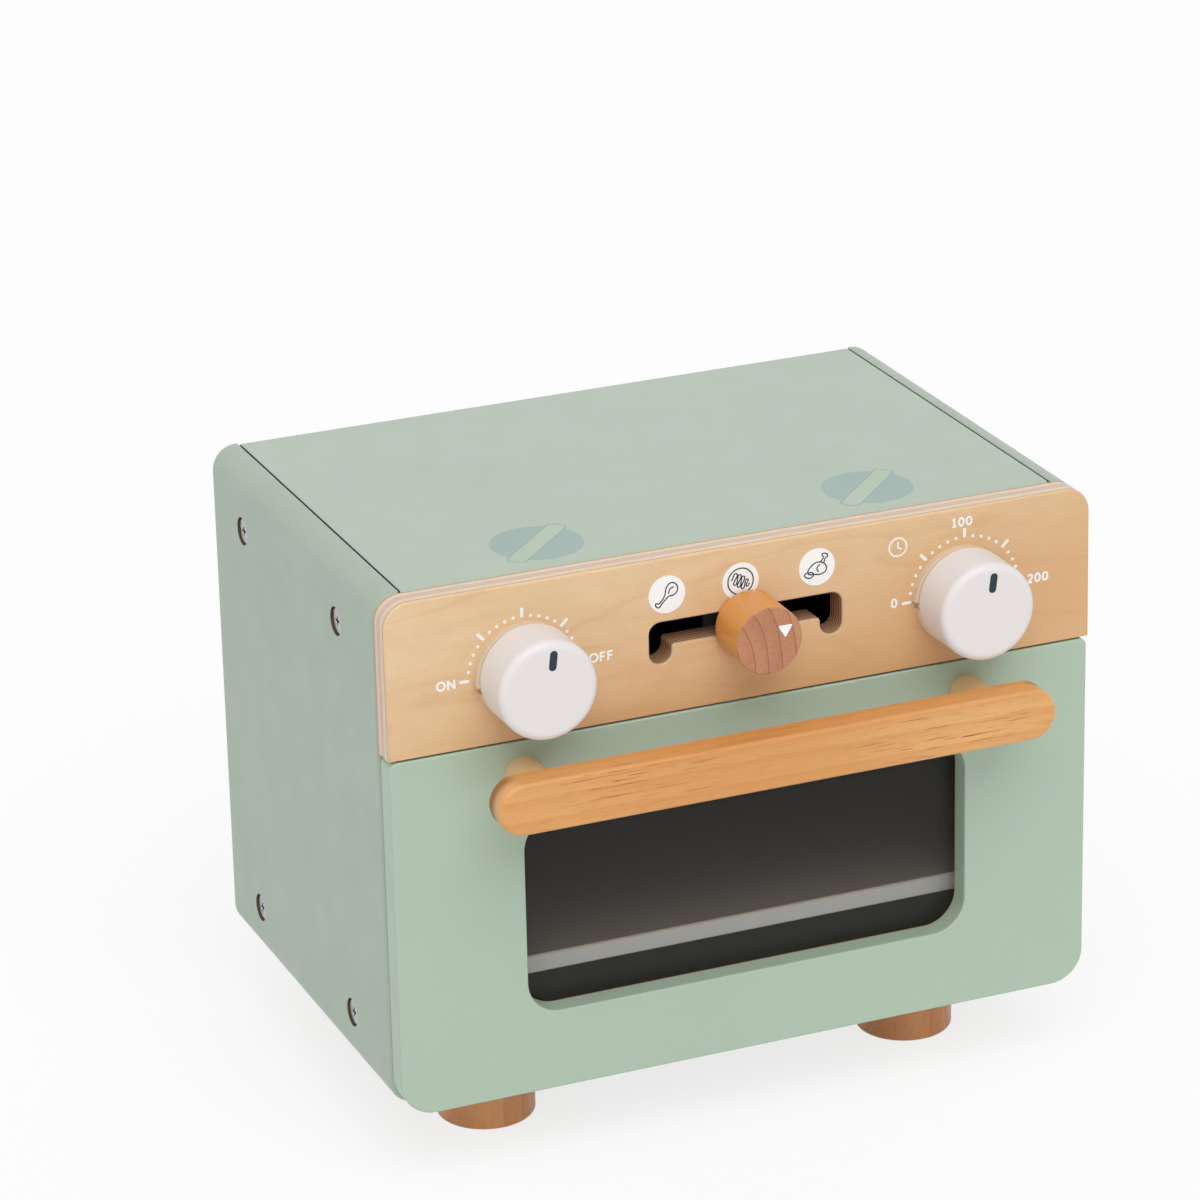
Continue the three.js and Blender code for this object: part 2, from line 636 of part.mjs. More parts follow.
// Selector: turned knob and stem, lifted into the run, with the retaining plate behind the panel
const selectorPlace = [0, 0, SELECTOR_Z];
const selectorRear = -SLIDING_GAP;
const selectorProfile = [
  [0, selectorRear], [SELECTOR_R - SELECTOR_EDGE, selectorRear], [SELECTOR_R, selectorRear - SELECTOR_EDGE],
  ...fillet(SELECTOR_R, -SELECTOR_FRONT, SELECTOR_EDGE, -1), [0, -SELECTOR_FRONT],
];
const stemBore = rod(STEM_FIT_R, selectorRear - STEM_DEEP, OVERRUN, 'y', selectorPlace, SMALL_SIDES);
const selectorKnob = turned(selectorProfile, 'y', selectorPlace, ROUND_SIDES).subtract(stemBore);
piece('selector_knob', selectorKnob, selectorWood);

const plateFront = FASCIA_BOARD + SLIDING_GAP;
const plateRear = plateFront + PLATE_TALL;
const headFront = plateRear + SEAT_GAP;
const headRear = headFront + STEM_HEAD_TALL;
const stemTip = selectorRear - STEM_DEEP + SEAT_GAP;
const stemProfile = [
  [0, stemTip], [STEM_R, stemTip], [STEM_R, headFront],
  [STEM_HEAD_R, headFront], [STEM_HEAD_R, headRear - SCREW_HEAD_DOME],
  [STEM_HEAD_R - SCREW_HEAD_DOME, headRear], [0, headRear],
];
piece('selector_stem', turned(stemProfile, 'y', selectorPlace, SMALL_SIDES), steel);

const plateZ = SELECTOR_Z - NOTCH_DEEP / 2;
const plateOutline = rounded(
  -PLATE_HALF, plateZ - PLATE_HALF, PLATE_HALF, plateZ + PLATE_HALF, even(PLATE_CORNER),
);
const stemWay = new THREE.Path();
stemWay.absarc(0, SELECTOR_Z, STEM_R + SLIDING_GAP, 0, Math.PI, false);
stemWay.absarc(0, SELECTOR_Z - NOTCH_DEEP, STEM_R + SLIDING_GAP, Math.PI, FULL_TURN, false);
stemWay.closePath();
plateOutline.holes.push(stemWay);
piece('selector_plate', pushed(plateOutline, 'y', plateFront, plateRear), darkPlastic);

// Door with a rounded window and a rebate for the pane at the back
const doorOutline = rounded(
  -DOOR_HALF, 0, DOOR_HALF, DOOR_TOP,
  [DOOR_CORNER_BOTTOM, DOOR_CORNER_BOTTOM, DOOR_CORNER_TOP, DOOR_CORNER_TOP],
);
doorOutline.holes.push(rounded(-WINDOW_HALF, WINDOW_SILL, WINDOW_HALF, WINDOW_TOP, even(WINDOW_CORNER)));
let door = pushed(doorOutline, 'y', 0, DOOR_BOARD, DOOR_EDGE);

const paneOutline = (grow) => rounded(
  -WINDOW_HALF - PANE_LAP - grow, WINDOW_SILL - PANE_LAP - grow,
  WINDOW_HALF + PANE_LAP + grow, WINDOW_TOP + PANE_LAP + grow,
  even(PANE_CORNER),
);
const paneFront = DOOR_BOARD + PANE_PROUD - PANE_SHEET;
door = door.subtract(pushed(paneOutline(SEAT_GAP), 'y', paneFront, DOOR_BOARD + OVERRUN));

const screwSeat = DOOR_BOARD - HANDLE_SCREW_SUNK;
const doorRear = DOOR_BOARD + OVERRUN;
const screwHeadFit = HANDLE_SCREW_HEAD_R + BORE_CLEARANCE;
const strikeFit = STRIKE_R + BORE_CLEARANCE;
for (const side of sides) {
  const post = [side.sign * POST_X, 0, BAR_Z];
  door = door.subtract(rod(HANDLE_SCREW_FIT_R, -OVERRUN, doorRear, 'y', post, SMALL_SIDES));
  door = door.subtract(rod(screwHeadFit, screwSeat, doorRear, 'y', post, SMALL_SIDES));
  const strike = [side.sign * MAGNET_X, DOOR_BOARD, MAGNET_Z];
  door = door.subtract(rod(strikeFit, STRIKE_PROUD - STRIKE_TALL, OVERRUN, 'y', strike, SMALL_SIDES));
  door = door.subtract(block(
    side.sign * HINGE_X - HINGE_HALF, side.sign * HINGE_X + HINGE_HALF,
    DOOR_BOARD - HINGE_SUNK, doorRear, -OVERRUN, HINGE_LEAF_TOP + SEAT_GAP,
  ));
}
piece('door_panel', door, greenPaint);
piece('door_pane', pushed(paneOutline(0), 'y', paneFront, paneFront + PANE_SHEET, 0, true), smokedPane);

// Handle: round-ended bar on two posts, screwed from inside the door
const barFront = -HANDLE_REACH;
const barRear = barFront + BAR_DEEP;
const barOutline = rounded(
  -BAR_LENGTH / 2, BAR_Z - BAR_TALL / 2, BAR_LENGTH / 2, BAR_Z + BAR_TALL / 2, even(BAR_TALL / 2),
);
let bar = pushed(barOutline, 'y', barFront, barRear, BAR_EDGE);
for (const side of sides) {
  const place = [side.sign * POST_X, 0, BAR_Z];
  const screwTip = barRear - HANDLE_SCREW_BITE;
  bar = bar.subtract(rod(HANDLE_SCREW_FIT_R, screwTip - SEAT_GAP, OVERRUN, 'y', place, SMALL_SIDES));
  const way = rod(HANDLE_SCREW_FIT_R, barRear - OVERRUN, OVERRUN, 'y', place, SMALL_SIDES);
  const post = rod(POST_R, barRear, 0, 'y', place, ROUND_SIDES).subtract(way);
  piece(`handle_post_${side.name}`, post, paleWood);
  const headEnd = screwSeat + HANDLE_SCREW_HEAD_TALL;
  const screwProfile = [
    [0, screwTip], [HANDLE_SCREW_R, screwTip + HANDLE_SCREW_R], [HANDLE_SCREW_R, screwSeat],
    [HANDLE_SCREW_HEAD_R, screwSeat], [HANDLE_SCREW_HEAD_R, headEnd - SCREW_HEAD_DOME],
    [HANDLE_SCREW_HEAD_R - SCREW_HEAD_DOME, headEnd], [0, headEnd],
  ];
  piece(`handle_screw_${side.name}`, turned(screwProfile, 'y', place, SMALL_SIDES), steel);
}
piece('handle_bar', bar, handleWood);

// Butt hinges between the door's back and the bottom panel's front edge
function hingeLeaf(centre, nearY, farY, knuckles) {
  let leaf = block(centre - HINGE_HALF, centre + HINGE_HALF, nearY, farY, HINGE_LEAF_FOOT, HINGE_LEAF_TOP);
  for (const [from, to] of knuckles) {
    const web = block(centre + from, centre + to, nearY, farY, HINGE_AXIS_Z, HINGE_LEAF_TOP);
    const barrel = rod(KNUCKLE_R, from, to, 'x', [centre, HINGE_Y, HINGE_AXIS_Z], SMALL_SIDES);
    leaf = leaf.add(web).add(barrel);
  }
  const reach = HINGE_HALF + OVERRUN;
  const pinPlace = [centre, HINGE_Y, HINGE_AXIS_Z];
  return leaf.subtract(rod(PIN_BORE_R, -reach, reach, 'x', pinPlace, SMALL_SIDES));
}

const middleKnuckle = [[-HINGE_KNUCKLE_HALF, HINGE_KNUCKLE_HALF]];
const outerStart = HINGE_KNUCKLE_HALF + SLIDING_GAP;
const outerKnuckles = [[-HINGE_HALF, -outerStart], [outerStart, HINGE_HALF]];
const doorLeafNear = DOOR_BOARD - HINGE_SUNK;
const bodyLeafFar = FASCIA_BOARD + HINGE_SUNK;
for (const side of sides) {
  const centre = side.sign * HINGE_X;
  const doorLeaf = hingeLeaf(centre, doorLeafNear, doorLeafNear + HINGE_LEAF, outerKnuckles);
  const bodyLeaf = hingeLeaf(centre, bodyLeafFar - HINGE_LEAF, bodyLeafFar, middleKnuckle);
  const pinPlace = [centre, HINGE_Y, HINGE_AXIS_Z];
  piece(`hinge_door_leaf_${side.name}`, doorLeaf, steel);
  piece(`hinge_body_leaf_${side.name}`, bodyLeaf, steel);
  piece(`hinge_pin_${side.name}`, rod(PIN_R, -HINGE_HALF, HINGE_HALF, 'x', pinPlace, SMALL_SIDES), steel);
}

// Magnets in the divider's front edge meet strike discs let into the door
for (const side of sides) {
  const x = side.sign * MAGNET_X;
  const magnet = rod(
    MAGNET_R, -MAGNET_PROUD, MAGNET_TALL - MAGNET_PROUD, 'y', [x, FASCIA_BOARD, MAGNET_Z], SMALL_SIDES,
  );
  piece(`magnet_${side.name}`, magnet, steel);
  const strike = rod(
    STRIKE_R, STRIKE_PROUD - STRIKE_TALL, STRIKE_PROUD, 'y', [x, DOOR_BOARD, MAGNET_Z], SMALL_SIDES,
  );
  piece(`strike_disc_${side.name}`, strike, steel);
}

oven.position.set(0, -(DEPTH - HANDLE_REACH) / 2, FOOT_HEIGHT);

export default oven;
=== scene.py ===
"""Wooden toy oven: the finished look of each piece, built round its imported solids."""

import math

import bmesh
import bpy
from bpy.props import FloatProperty, FloatVectorProperty, PointerProperty
from mathutils import Matrix, Vector


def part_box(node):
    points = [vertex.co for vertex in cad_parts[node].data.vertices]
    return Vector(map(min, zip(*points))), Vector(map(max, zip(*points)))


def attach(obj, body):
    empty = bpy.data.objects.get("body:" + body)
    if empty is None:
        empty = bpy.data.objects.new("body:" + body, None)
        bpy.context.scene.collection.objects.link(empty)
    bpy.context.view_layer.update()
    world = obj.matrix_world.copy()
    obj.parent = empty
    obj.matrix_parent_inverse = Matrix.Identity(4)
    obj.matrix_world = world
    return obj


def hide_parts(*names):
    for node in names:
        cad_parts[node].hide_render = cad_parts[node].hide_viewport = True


bl_info = {
    "name": "Toy oven",
    "version": (1, 0, 0),
    "blender": (4, 5, 0),
    "location": "3D View > Sidebar > Toy oven",
    "description": "Builds a painted wooden toy oven with its finishes, piece by piece",
    "category": "Object",
}

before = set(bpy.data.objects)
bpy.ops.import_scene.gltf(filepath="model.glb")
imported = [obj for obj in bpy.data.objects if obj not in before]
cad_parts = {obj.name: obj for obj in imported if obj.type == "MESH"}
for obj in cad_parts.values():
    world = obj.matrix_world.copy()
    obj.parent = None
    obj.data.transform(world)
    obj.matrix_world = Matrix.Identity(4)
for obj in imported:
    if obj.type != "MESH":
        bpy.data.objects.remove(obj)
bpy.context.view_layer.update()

AXES = "xyz"
# In metres: how near two measures count as one, and how far a cutter stands out of a piece
NEAR = 2e-6
OVERRUN = 0.001
# How much of its normal lies along an axis when a face counts as looking that way
FACING = 0.9
SIDES = (("left", -1), ("right", 1))
ROWS = ("front", "rear")
LEVELS = ("top", "bottom")
# Where the slot has its notches, across the control panel
STATIONS = (-0.034, 0.0, 0.034)


def tint(red, green, blue):
    """A colour as seen on a screen, from 0 to 255, turned into the linear values that a shader takes."""
    parts = [value / 255 for value in (red, green, blue)]
    return tuple(p / 12.92 if p <= 0.04045 else ((p + 0.055) / 1.055) ** 2.4 for p in parts)


def length(label, words, value):
    """A size that the user can change."""
    return FloatProperty(name=label, description=words, default=value, min=0.0, unit="LENGTH", precision=5)


def colour(label, words, *screen):
    """A colour that the user can change."""
    return FloatVectorProperty(name=label, description=words, default=tint(*screen), subtype="COLOR", min=0, max=1)


class OvenSizes(bpy.types.PropertyGroup):
    """Roundings, margins and print sizes of the toy oven."""

    corner: length("Carcass corner", "Rounding of the long outer edges of the body", 0.0096)
    edge: length("Board edge", "Easing of the painted board edges", 0.0008)
    front_edge: length("Front edge", "Rounding of the front edge of the sides", 0.002)
    soft_edge: length("Top edge", "Rounding of the front and rear edge of the top", 0.0025)
    seam: length("Seam", "Free space between the top board and a side board", 0.0006)
    seam_edge: length("Seam edge", "Rounding of the boards along the seam", 0.0005)
    back_lap: length("Back rebate", "Depth of the rebate that takes the back board", 0.005)
    recess: length("Screw recess", "Radius of the recesses for the side screws", 0.0055)
    recess_depth: length("Recess depth", "Depth of the recesses for the side screws", 0.0032)
    slot_rise: length("Slot rise", "Height of the slot's run above the panel's lower edge", 0.0263)
    slot_half: length("Slot half length", "Half of the slot's length", 0.0384)
    slot_tall: length("Slot run", "Height of the slot's run", 0.009)
    notch: length("Notch radius", "Radius of the slot's notches", 0.0044)
    notch_deep: length("Notch depth", "Depth of a notch below the run", 0.0071)
    tooth: length("Tooth corner", "Rounding of the corners between the notches", 0.0015)
    spindle_hole: length("Spindle hole", "Radius of the hole behind a dial", 0.0045)
    ring_play: length("Ring play", "How far a ring sits off the knob's axis to the left and down", 0.0006)
    ring_step: length("Ring step", "How much the lower half of a ring is smaller", 0.001)
    ring_drop: length("Ring notch drop", "Distance of the ring's notches below its middle", 0.0022)
    ring_notch: length("Ring notch", "Height of the ring's notches", 0.0026)
    knob_edge: length("Knob edge", "Rounding of a dial knob's front edge", 0.003)
    pointer_wide: length("Pointer width", "Width of a dial's pointer", 0.0029)
    pointer_long: length("Pointer length", "Length of a dial's pointer", 0.0076)
    pointer_rise: length("Pointer rise", "Distance of a pointer's lower end above the knob's middle", 0.008)
    door_low: length("Door corner, low", "Rounding of the door's lower corners", 0.013)
    door_high: length("Door corner, high", "Rounding of the door's upper corners", 0.003)
    door_edge: length("Door edge", "Rounding of the door's rims", 0.0008)
    window_side: length("Window stile", "Width of the door beside the window", 0.0506)
    window_low: length("Window sill", "Height of the door below the window", 0.0313)
    window_high: length("Window head", "Height of the door above the window", 0.031)
    window_corner: length("Window corner", "Rounding of the window's corners", 0.013)
    bar_edge: length("Handle edge", "Rounding of the handle bar's rims", 0.0017)
    print_thick: length("Print thickness", "How far a print stands on its surface", 0.00006)
    tick_long: length("Tick length", "Length of a tick", 0.0038)
    tick_wide: length("Tick width", "Width of a tick", 0.00115)
    letter_tall: length("Letter height", "Height of the capitals and figures", 0.0038)
    badge: length("Badge radius", "Radius of the white picture discs", 0.0072)


class OvenColours(bpy.types.PropertyGroup):
    """Paints, woods and inks of the toy oven."""

    green: colour("Green paint", "Door", 174, 194, 174)
    # A darker, greyer copy of the door green: painted shade of the sides, also used on the bottom and back boards
    side_green: colour("Side green", "Side, bottom and back boards", 166, 181, 165)
    # A greyer copy of the door green: painted sheen of the top board
    top_green_with_sheen: colour("Top green", "Top board", 175, 190, 174)
    # Dark paint inside the oven space, also put in the seams beside the top board as painted shade
    cavity: colour("Cavity paint", "Inside of the oven space", 76, 74, 68)
    plywood: colour("Plywood face", "Control panel's face", 232, 202, 160)
    # Darker tone of the panel's clouds, also its painted shade towards the bottom and the right
    plywood_cloud_and_shade: colour("Plywood cloud", "Darker clouds on the control panel", 217, 171, 121)
    ply_light: colour("Light ply", "Paler layer on the panel's edge", 230, 210, 190)
    ply_dark: colour("Dark ply", "Darker layer on the panel's edge", 210, 182, 160)
    ply_rear: colour("Rear ply", "Rear veneer on the panel's edge", 196, 152, 108)
    cut_light: colour("Routed ply", "Paler layer on the walls of the slot", 206, 164, 128)
    cut_dark: colour("Burnt ply", "Darker layer on the walls of the slot", 132, 92, 64)
    handle: colour("Handle wood", "Handle bar", 231, 180, 116)
    handle_dark: colour("Handle grain", "Darker grain of the handle bar", 206, 134, 66)
    handle_fleck: colour("Handle fleck", "Reddish streaks of the handle bar", 160, 80, 34)
    post: colour("Post wood", "Posts of the handle", 226, 192, 142)
    foot: colour("Foot wood", "Feet", 228, 160, 102)
    foot_dark: colour("Foot grain", "Darker grain of the feet", 192, 114, 66)
    selector: colour("Selector wood", "Selector's turned side", 228, 156, 84)
    selector_end: colour("Selector end grain", "Selector's front", 206, 148, 106)
    selector_ring: colour("Selector rings", "Growth rings on the selector's front", 152, 86, 60)
    knob: colour("Knob paint", "Dial knobs", 229, 224, 223)
    ring: colour("Ring", "Click rings behind the knobs", 216, 196, 168)
    # Front edge of the shelf: a lighter copy of the shelf's one paint, painted highlight of the lit edge
    shelf: colour("Shelf paint", "Front edge of the shelf in the oven space", 238, 236, 230)
    # Upper side of the shelf: a darker copy of the shelf's one paint, painted shade
    shelf_top: colour("Shelf top", "Upper side of the shelf in the oven space", 156, 146, 138)
    steel: colour("Steel", "Screws, pins and hinges", 190, 190, 194)
    plate: colour("Slide plate", "Plate behind the slot", 66, 66, 70)
    # Recess walls round the side screws: cut fibre board, made darker as painted shade in the recess
    raw_board_and_shade: colour("Raw board", "Cut fibre board inside a recess", 88, 78, 44)
    white_ink: colour("White print", "Ticks, figures and badges", 250, 250, 250)
    navy_ink: colour("Navy print", "Pointers and drawings", 24, 40, 56)
    hob_blue: colour("Hob blue", "Discs printed on the top", 152, 174, 168)
    hob_line: colour("Hob line", "Outline of the bars printed on the top", 142, 166, 162)
    hob_green: colour("Hob green", "Bars printed on the top", 176, 192, 172)


class OvenStage(bpy.types.PropertyGroup):
    """Floor, light and camera."""

    floor_half: length("Floor", "Half of the floor's side", 6.0)
    sky: FloatProperty(name="Sky", description="Strength of the even light", default=0.56, min=0.0)
    key: FloatProperty(name="Key", description="Strength of the main lamp", default=1.5, min=0.0)
    fill: FloatProperty(name="Fill", description="Strength of the second lamp", default=0.12, min=0.0)
    lens: length("Lens", "Focal length", 0.1530)
    shift_x: FloatProperty(name="Shift across", description="Sideways shift of the picture", default=0.01472)
    shift_y: FloatProperty(name="Shift up", description="Upward shift of the picture", default=-0.00193)


# Selecting, placing and shaping


def rest():
    """Leaves edit mode and selects nothing."""
    if bpy.context.object and bpy.context.object.mode != "OBJECT":
        bpy.ops.object.mode_set(mode="OBJECT")
    bpy.ops.object.select_all(action="DESELECT")


def take(piece):
    """Selects one piece and makes it the active one."""
    rest()
    piece.select_set(True)
    bpy.context.view_layer.objects.active = piece


def pick(kind, test):
    """Selects the corners, edges or faces for which the test holds, in edit mode."""
    bpy.ops.object.mode_set(mode="EDIT")
    bpy.ops.mesh.select_mode(type=kind)
    bpy.ops.mesh.select_all(action="DESELECT")
    mesh = bpy.context.object.data
    form = bmesh.from_edit_mesh(mesh)
    lists = {"VERT": form.verts, "EDGE": form.edges, "FACE": form.faces}
    found = [each for each in lists[kind] if test(each)]
    if not found:
        raise RuntimeError(f"{bpy.context.object.name}: nothing to select")
    for each in found:
        each.select_set(True)
    form.select_flush_mode()
    bmesh.update_edit_mesh(mesh)


def settle(name):
    """Puts the active object's place into its mesh and names it."""
    piece = bpy.context.object
    bpy.ops.object.transform_apply(location=True, rotation=True, scale=True)
    piece.name = name
    piece.data.name = name
    return piece


def drop(*pieces):
    """Removes bodies that only served to make others."""
    for each in pieces:
        bpy.data.objects.remove(each)


def centre_of(node):
    """Middle of a node's box."""
    low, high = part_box(node)
    return (low + high) / 2


def block(name, low, high):
    """A rectangular body between two opposite corners."""
    rest()
    low, high = Vector(low), Vector(high)
    bpy.ops.mesh.primitive_cube_add(size=1, location=(low + high) / 2)
    bpy.ops.transform.resize(value=high - low)
    return settle(name)


def rod(name, radius, low, high, axis, centre, sides):
    """A round body along one axis, from low to high."""
    rest()
    middle = list(centre)
    middle[AXES.index(axis)] = (low + high) / 2
    turn = {"x": (0, math.pi / 2, 0), "y": (math.pi / 2, 0, 0), "z": (0, 0, 0)}[axis]
    bpy.ops.mesh.primitive_cylinder_add(
        vertices=sides, radius=radius, depth=high - low, end_fill_type="NGON", location=middle, rotation=turn
    )
    return settle(name)


def upright(axis, across, up, level):
    """A point of a drawing that faces the axis, at a level along it."""
    return Vector({"x": (level, across, up), "y": (across, level, up), "z": (across, up, level)}[axis])


def plate(name, corners, axis, low, high, steps=10):
    """A drawn outline with a rounding at each corner, extruded from low to high along the axis."""
    rest()
    bpy.ops.mesh.primitive_circle_add(vertices=len(corners), radius=OVERRUN, fill_type="NGON")
    piece = bpy.context.object
    for corner, (across, up, _) in zip(piece.data.vertices, corners):
        corner.co = upright(axis, across, up, low)
    for radius in sorted({r for _, _, r in corners if r > 0}):
        spots = [upright(axis, across, up, low) for across, up, r in corners if r == radius]
        pick("VERT", lambda v: any((v.co - spot).length < NEAR for spot in spots))
        bpy.ops.mesh.bevel(offset=radius, segments=steps, affect="VERTICES", clamp_overlap=False)
    bpy.ops.object.mode_set(mode="EDIT")
    bpy.ops.mesh.select_all(action="SELECT")
    bpy.ops.mesh.remove_doubles(threshold=NEAR)
    bpy.ops.mesh.select_all(action="SELECT")
    path = [0.0, 0.0, 0.0]
    path[AXES.index(axis)] = high - low
    bpy.ops.mesh.extrude_region_move(TRANSFORM_OT_translate={"value": path})
    bpy.ops.mesh.select_all(action="SELECT")
    bpy.ops.mesh.normals_make_consistent(inside=False)
    bpy.ops.object.mode_set(mode="OBJECT")
    return settle(name)


def rectangle(left, low, right, high, *rounds):
    """Corners of a rectangle with one rounding for all, or four from the lower left round."""
    four = rounds * 4 if len(rounds) == 1 else rounds
    return list(zip((left, right, right, left), (low, low, high, high), four))


def board(name, node, *rounds, steps):
    """A board with a node's box, its corners rounded as seen from the front."""
    low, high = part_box(node)
    return plate(name, rectangle(low.x, low.z, high.x, high.z, *rounds), "y", low.y, high.y, steps)


def soften(piece, axis, level, radius, steps, inside=lambda point: True):
    """Rounds the rims that lie in one plane across the axis."""
    take(piece)
    index = AXES.index(axis)

    def on_rim(edge):
        flat = all(abs(v.co[index] - level) < NEAR and inside(v.co) for v in edge.verts)
        return flat and edge.is_manifold and edge.calc_face_angle(0) > 0.5

    pick("EDGE", on_rim)
    bpy.ops.mesh.bevel(offset=radius, segments=steps, affect="EDGES", profile=0.5)
    bpy.ops.object.mode_set(mode="OBJECT")


def combine(piece, other):
    """Cuts another body from the piece and removes that body."""
    take(piece)
    bpy.ops.object.modifier_add(type="BOOLEAN")
    step = piece.modifiers[-1]
    step.operation = "DIFFERENCE"
    step.solver = "EXACT"
    step.object = other
    bpy.ops.object.modifier_apply(modifier=step.name)
    drop(other)
    return piece


def twin(piece, name, shift, turn=0.0, axis="Z", about=(0, 0, 0)):
    """A copy of a finished piece, turned about a point and moved, with its own mesh."""
    take(piece)
    bpy.ops.object.duplicate(linked=False)
    about = Vector(about)
    there = Matrix.Translation(about + Vector(shift)) @ Matrix.Rotation(turn, 4, axis)
    bpy.context.object.matrix_world = there @ Matrix.Translation(-about)
    return settle(name)


def cross_cut(piece, axis, face, centre, reach, half, deep):
    """Cuts a cross recess from the face that looks along the axis."""
    middle = Vector(centre)
    middle[AXES.index(axis)] = 0.0
    for wide, tall in ((reach, half), (half, reach)):
        low, high = upright(axis, -wide, -tall, face - deep), upright(axis, wide, tall, face + OVERRUN)
        combine(piece, block("cross", low + middle, high + middle))


def join(name, pieces):
    """Several bodies as one mesh."""
    rest()
    for each in pieces:
        each.select_set(True)
    bpy.context.view_layer.objects.active = pieces[0]
    if len(pieces) > 1:
        bpy.ops.object.join()
    return settle(name)


def paint_faces(piece, material, test):
    """Gives the faces for which the test holds a second finish."""
    take(piece)
    piece.data.materials.append(material)
    pick("FACE", test)
    piece.active_material_index = len(piece.data.materials) - 1
    bpy.ops.object.material_slot_assign()
    bpy.ops.object.mode_set(mode="OBJECT")


def dress(piece, body, material, nodes=(), angle=32):
    """Shades a finished piece, gives it its finish and lets it ride on its body."""
    take(piece)
    if not piece.data.materials:
        piece.data.materials.append(material)
    bpy.ops.object.shade_smooth_by_angle(angle=math.radians(angle))
    bpy.ops.object.modifier_add(type="WEIGHTED_NORMAL")
    piece.modifiers[-1].keep_sharp = True
    bpy.ops.object.modifier_apply(modifier=piece.modifiers[-1].name)
    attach(piece, body)
    if nodes:
        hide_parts(*nodes)
    rest()


def clad(piece, name, body, slot, node, base, *patches, angle=32):
    """Finishes a piece that stands for one node: its base finish, and each patch, as (finish, test of a face)."""
    piece.name = name
    piece.data.materials.append(base)
    for material, test in patches:
        paint_faces(piece, material, test)
    dress(piece, body, base, [node], angle)


# Finishes


class Finish:
    """The nodes of one material."""

    def __init__(self, name, roughness, metallic=0.0):
        self.material = bpy.data.materials.new(name)
        self.material.use_nodes = True
        self.tree = self.material.node_tree
        self.shader = self.tree.nodes["Principled BSDF"]
        self.shader.inputs["Roughness"].default_value = roughness
        self.shader.inputs["Metallic"].default_value = metallic
        self.place = self.tree.nodes.new("ShaderNodeTexCoord").outputs["Object"]

    def feed(self, socket, value):
        """Links a socket, or sets its value."""
        if isinstance(value, bpy.types.NodeSocket):
            self.tree.links.new(value, socket)
        elif isinstance(value, tuple) and len(value) == 3 and socket.type == "RGBA":
            socket.default_value = (*value, 1)
        else:
            socket.default_value = value

    def set(self, name, value):
        """Feeds an input of the surface."""
        self.feed(self.shader.inputs[name], value)

    def math(self, kind, first, second=0.0):
        """One sum."""
        node = self.tree.nodes.new("ShaderNodeMath")
        node.operation = kind
        self.feed(node.inputs[0], first)
        self.feed(node.inputs[1], second)
        return node.outputs[0]

    def times(self, first, second):
        """One product."""
        return self.math("MULTIPLY", first, second)

    def map(self, scale=(1, 1, 1), shift=(0, 0, 0), turn=(0, 0, 0), source=None):
        """A pattern's own coordinates."""
        node = self.tree.nodes.new("ShaderNodeMapping")
        self.feed(node.inputs["Vector"], source or self.place)
        node.inputs["Location"].default_value = shift
        node.inputs["Rotation"].default_value = turn
        node.inputs["Scale"].default_value = scale
        return node.outputs[0]

    def noise(self, scale, detail=2.0, rough=0.5, source=None):
        """Cloudy values from 0 to 1."""
        node = self.tree.nodes.new("ShaderNodeTexNoise")
        self.feed(node.inputs["Vector"], source or self.place)
        node.inputs["Scale"].default_value = scale
        node.inputs["Detail"].default_value = detail
        node.inputs["Roughness"].default_value = rough
        return node.outputs[0]

    def streaks(self, scale, detail, rough, shift=(0, 0, 0)):
        """Cloudy values with a scale of their own along each axis."""
        return self.noise(1, detail, rough, self.map(scale=scale, shift=shift))

    def rings(self, axis, scale, warp, source):
        """Growth rings round an axis: slow rise, then a sharp fall."""
        node = self.tree.nodes.new("ShaderNodeTexWave")
        node.wave_type = "RINGS"
        node.rings_direction = axis.upper()
        node.wave_profile = "SAW"
        self.feed(node.inputs["Vector"], source)
        node.inputs["Scale"].default_value = scale
        node.inputs["Distortion"].default_value = warp
        node.inputs["Detail"].default_value = 1.5
        node.inputs["Detail Scale"].default_value = 0.7
        return node.outputs[1]

    def ramp(self, value, *stops, steps=False):
        """Greys or colours at given values, as (value, shade), in a smooth run or in steps."""
        node = self.tree.nodes.new("ShaderNodeValToRGB")
        self.feed(node.inputs[0], value)
        if steps:
            node.color_ramp.interpolation = "CONSTANT"
        marks = node.color_ramp.elements
        while len(marks) < len(stops):
            marks.new(1.0)
        for mark, (spot, shade) in zip(marks, stops):
            mark.position = spot
            mark.color = (*shade, 1) if isinstance(shade, tuple) else (shade, shade, shade, 1)
        return node.outputs[0]

    def mix(self, share, first, second):
        """A blend of two colours."""
        node = self.tree.nodes.new("ShaderNodeMix")
        node.data_type = "RGBA"
        self.feed(node.inputs[0], share)
        self.feed(node.inputs[6], first)
        self.feed(node.inputs[7], second)
        return node.outputs[2]

    def parts(self, source=None):
        """The three numbers of a place or direction."""
        node = self.tree.nodes.new("ShaderNodeSeparateXYZ")
        self.feed(node.inputs[0], source or self.place)
        return node.outputs

    def wear_and_highlight(self, radius):
        """1 on the arrises and 0 on flat ground."""
        bevel = self.tree.nodes.new("ShaderNodeBevel")
        bevel.samples = 4
        bevel.inputs["Radius"].default_value = radius
        ground = self.tree.nodes.new("ShaderNodeNewGeometry")
        dot = self.tree.nodes.new("ShaderNodeVectorMath")
        dot.operation = "DOT_PRODUCT"
        self.feed(dot.inputs[0], bevel.outputs[0])
        self.feed(dot.inputs[1], ground.outputs["Normal"])
        return self.ramp(dot.outputs["Value"], (0.86, 1.0), (0.995, 0.0))

    def bump(self, height, strength, distance=0.0002):
        """Fine relief."""
        node = self.tree.nodes.new("ShaderNodeBump")
        node.inputs["Strength"].default_value = strength
        node.inputs["Distance"].default_value = distance
        self.feed(node.inputs["Height"], height)
        self.set("Normal", node.outputs[0])


def scaled(base, factor):
    """A lighter or darker version of a colour."""
    return tuple(min(1.0, part * factor) for part in base)


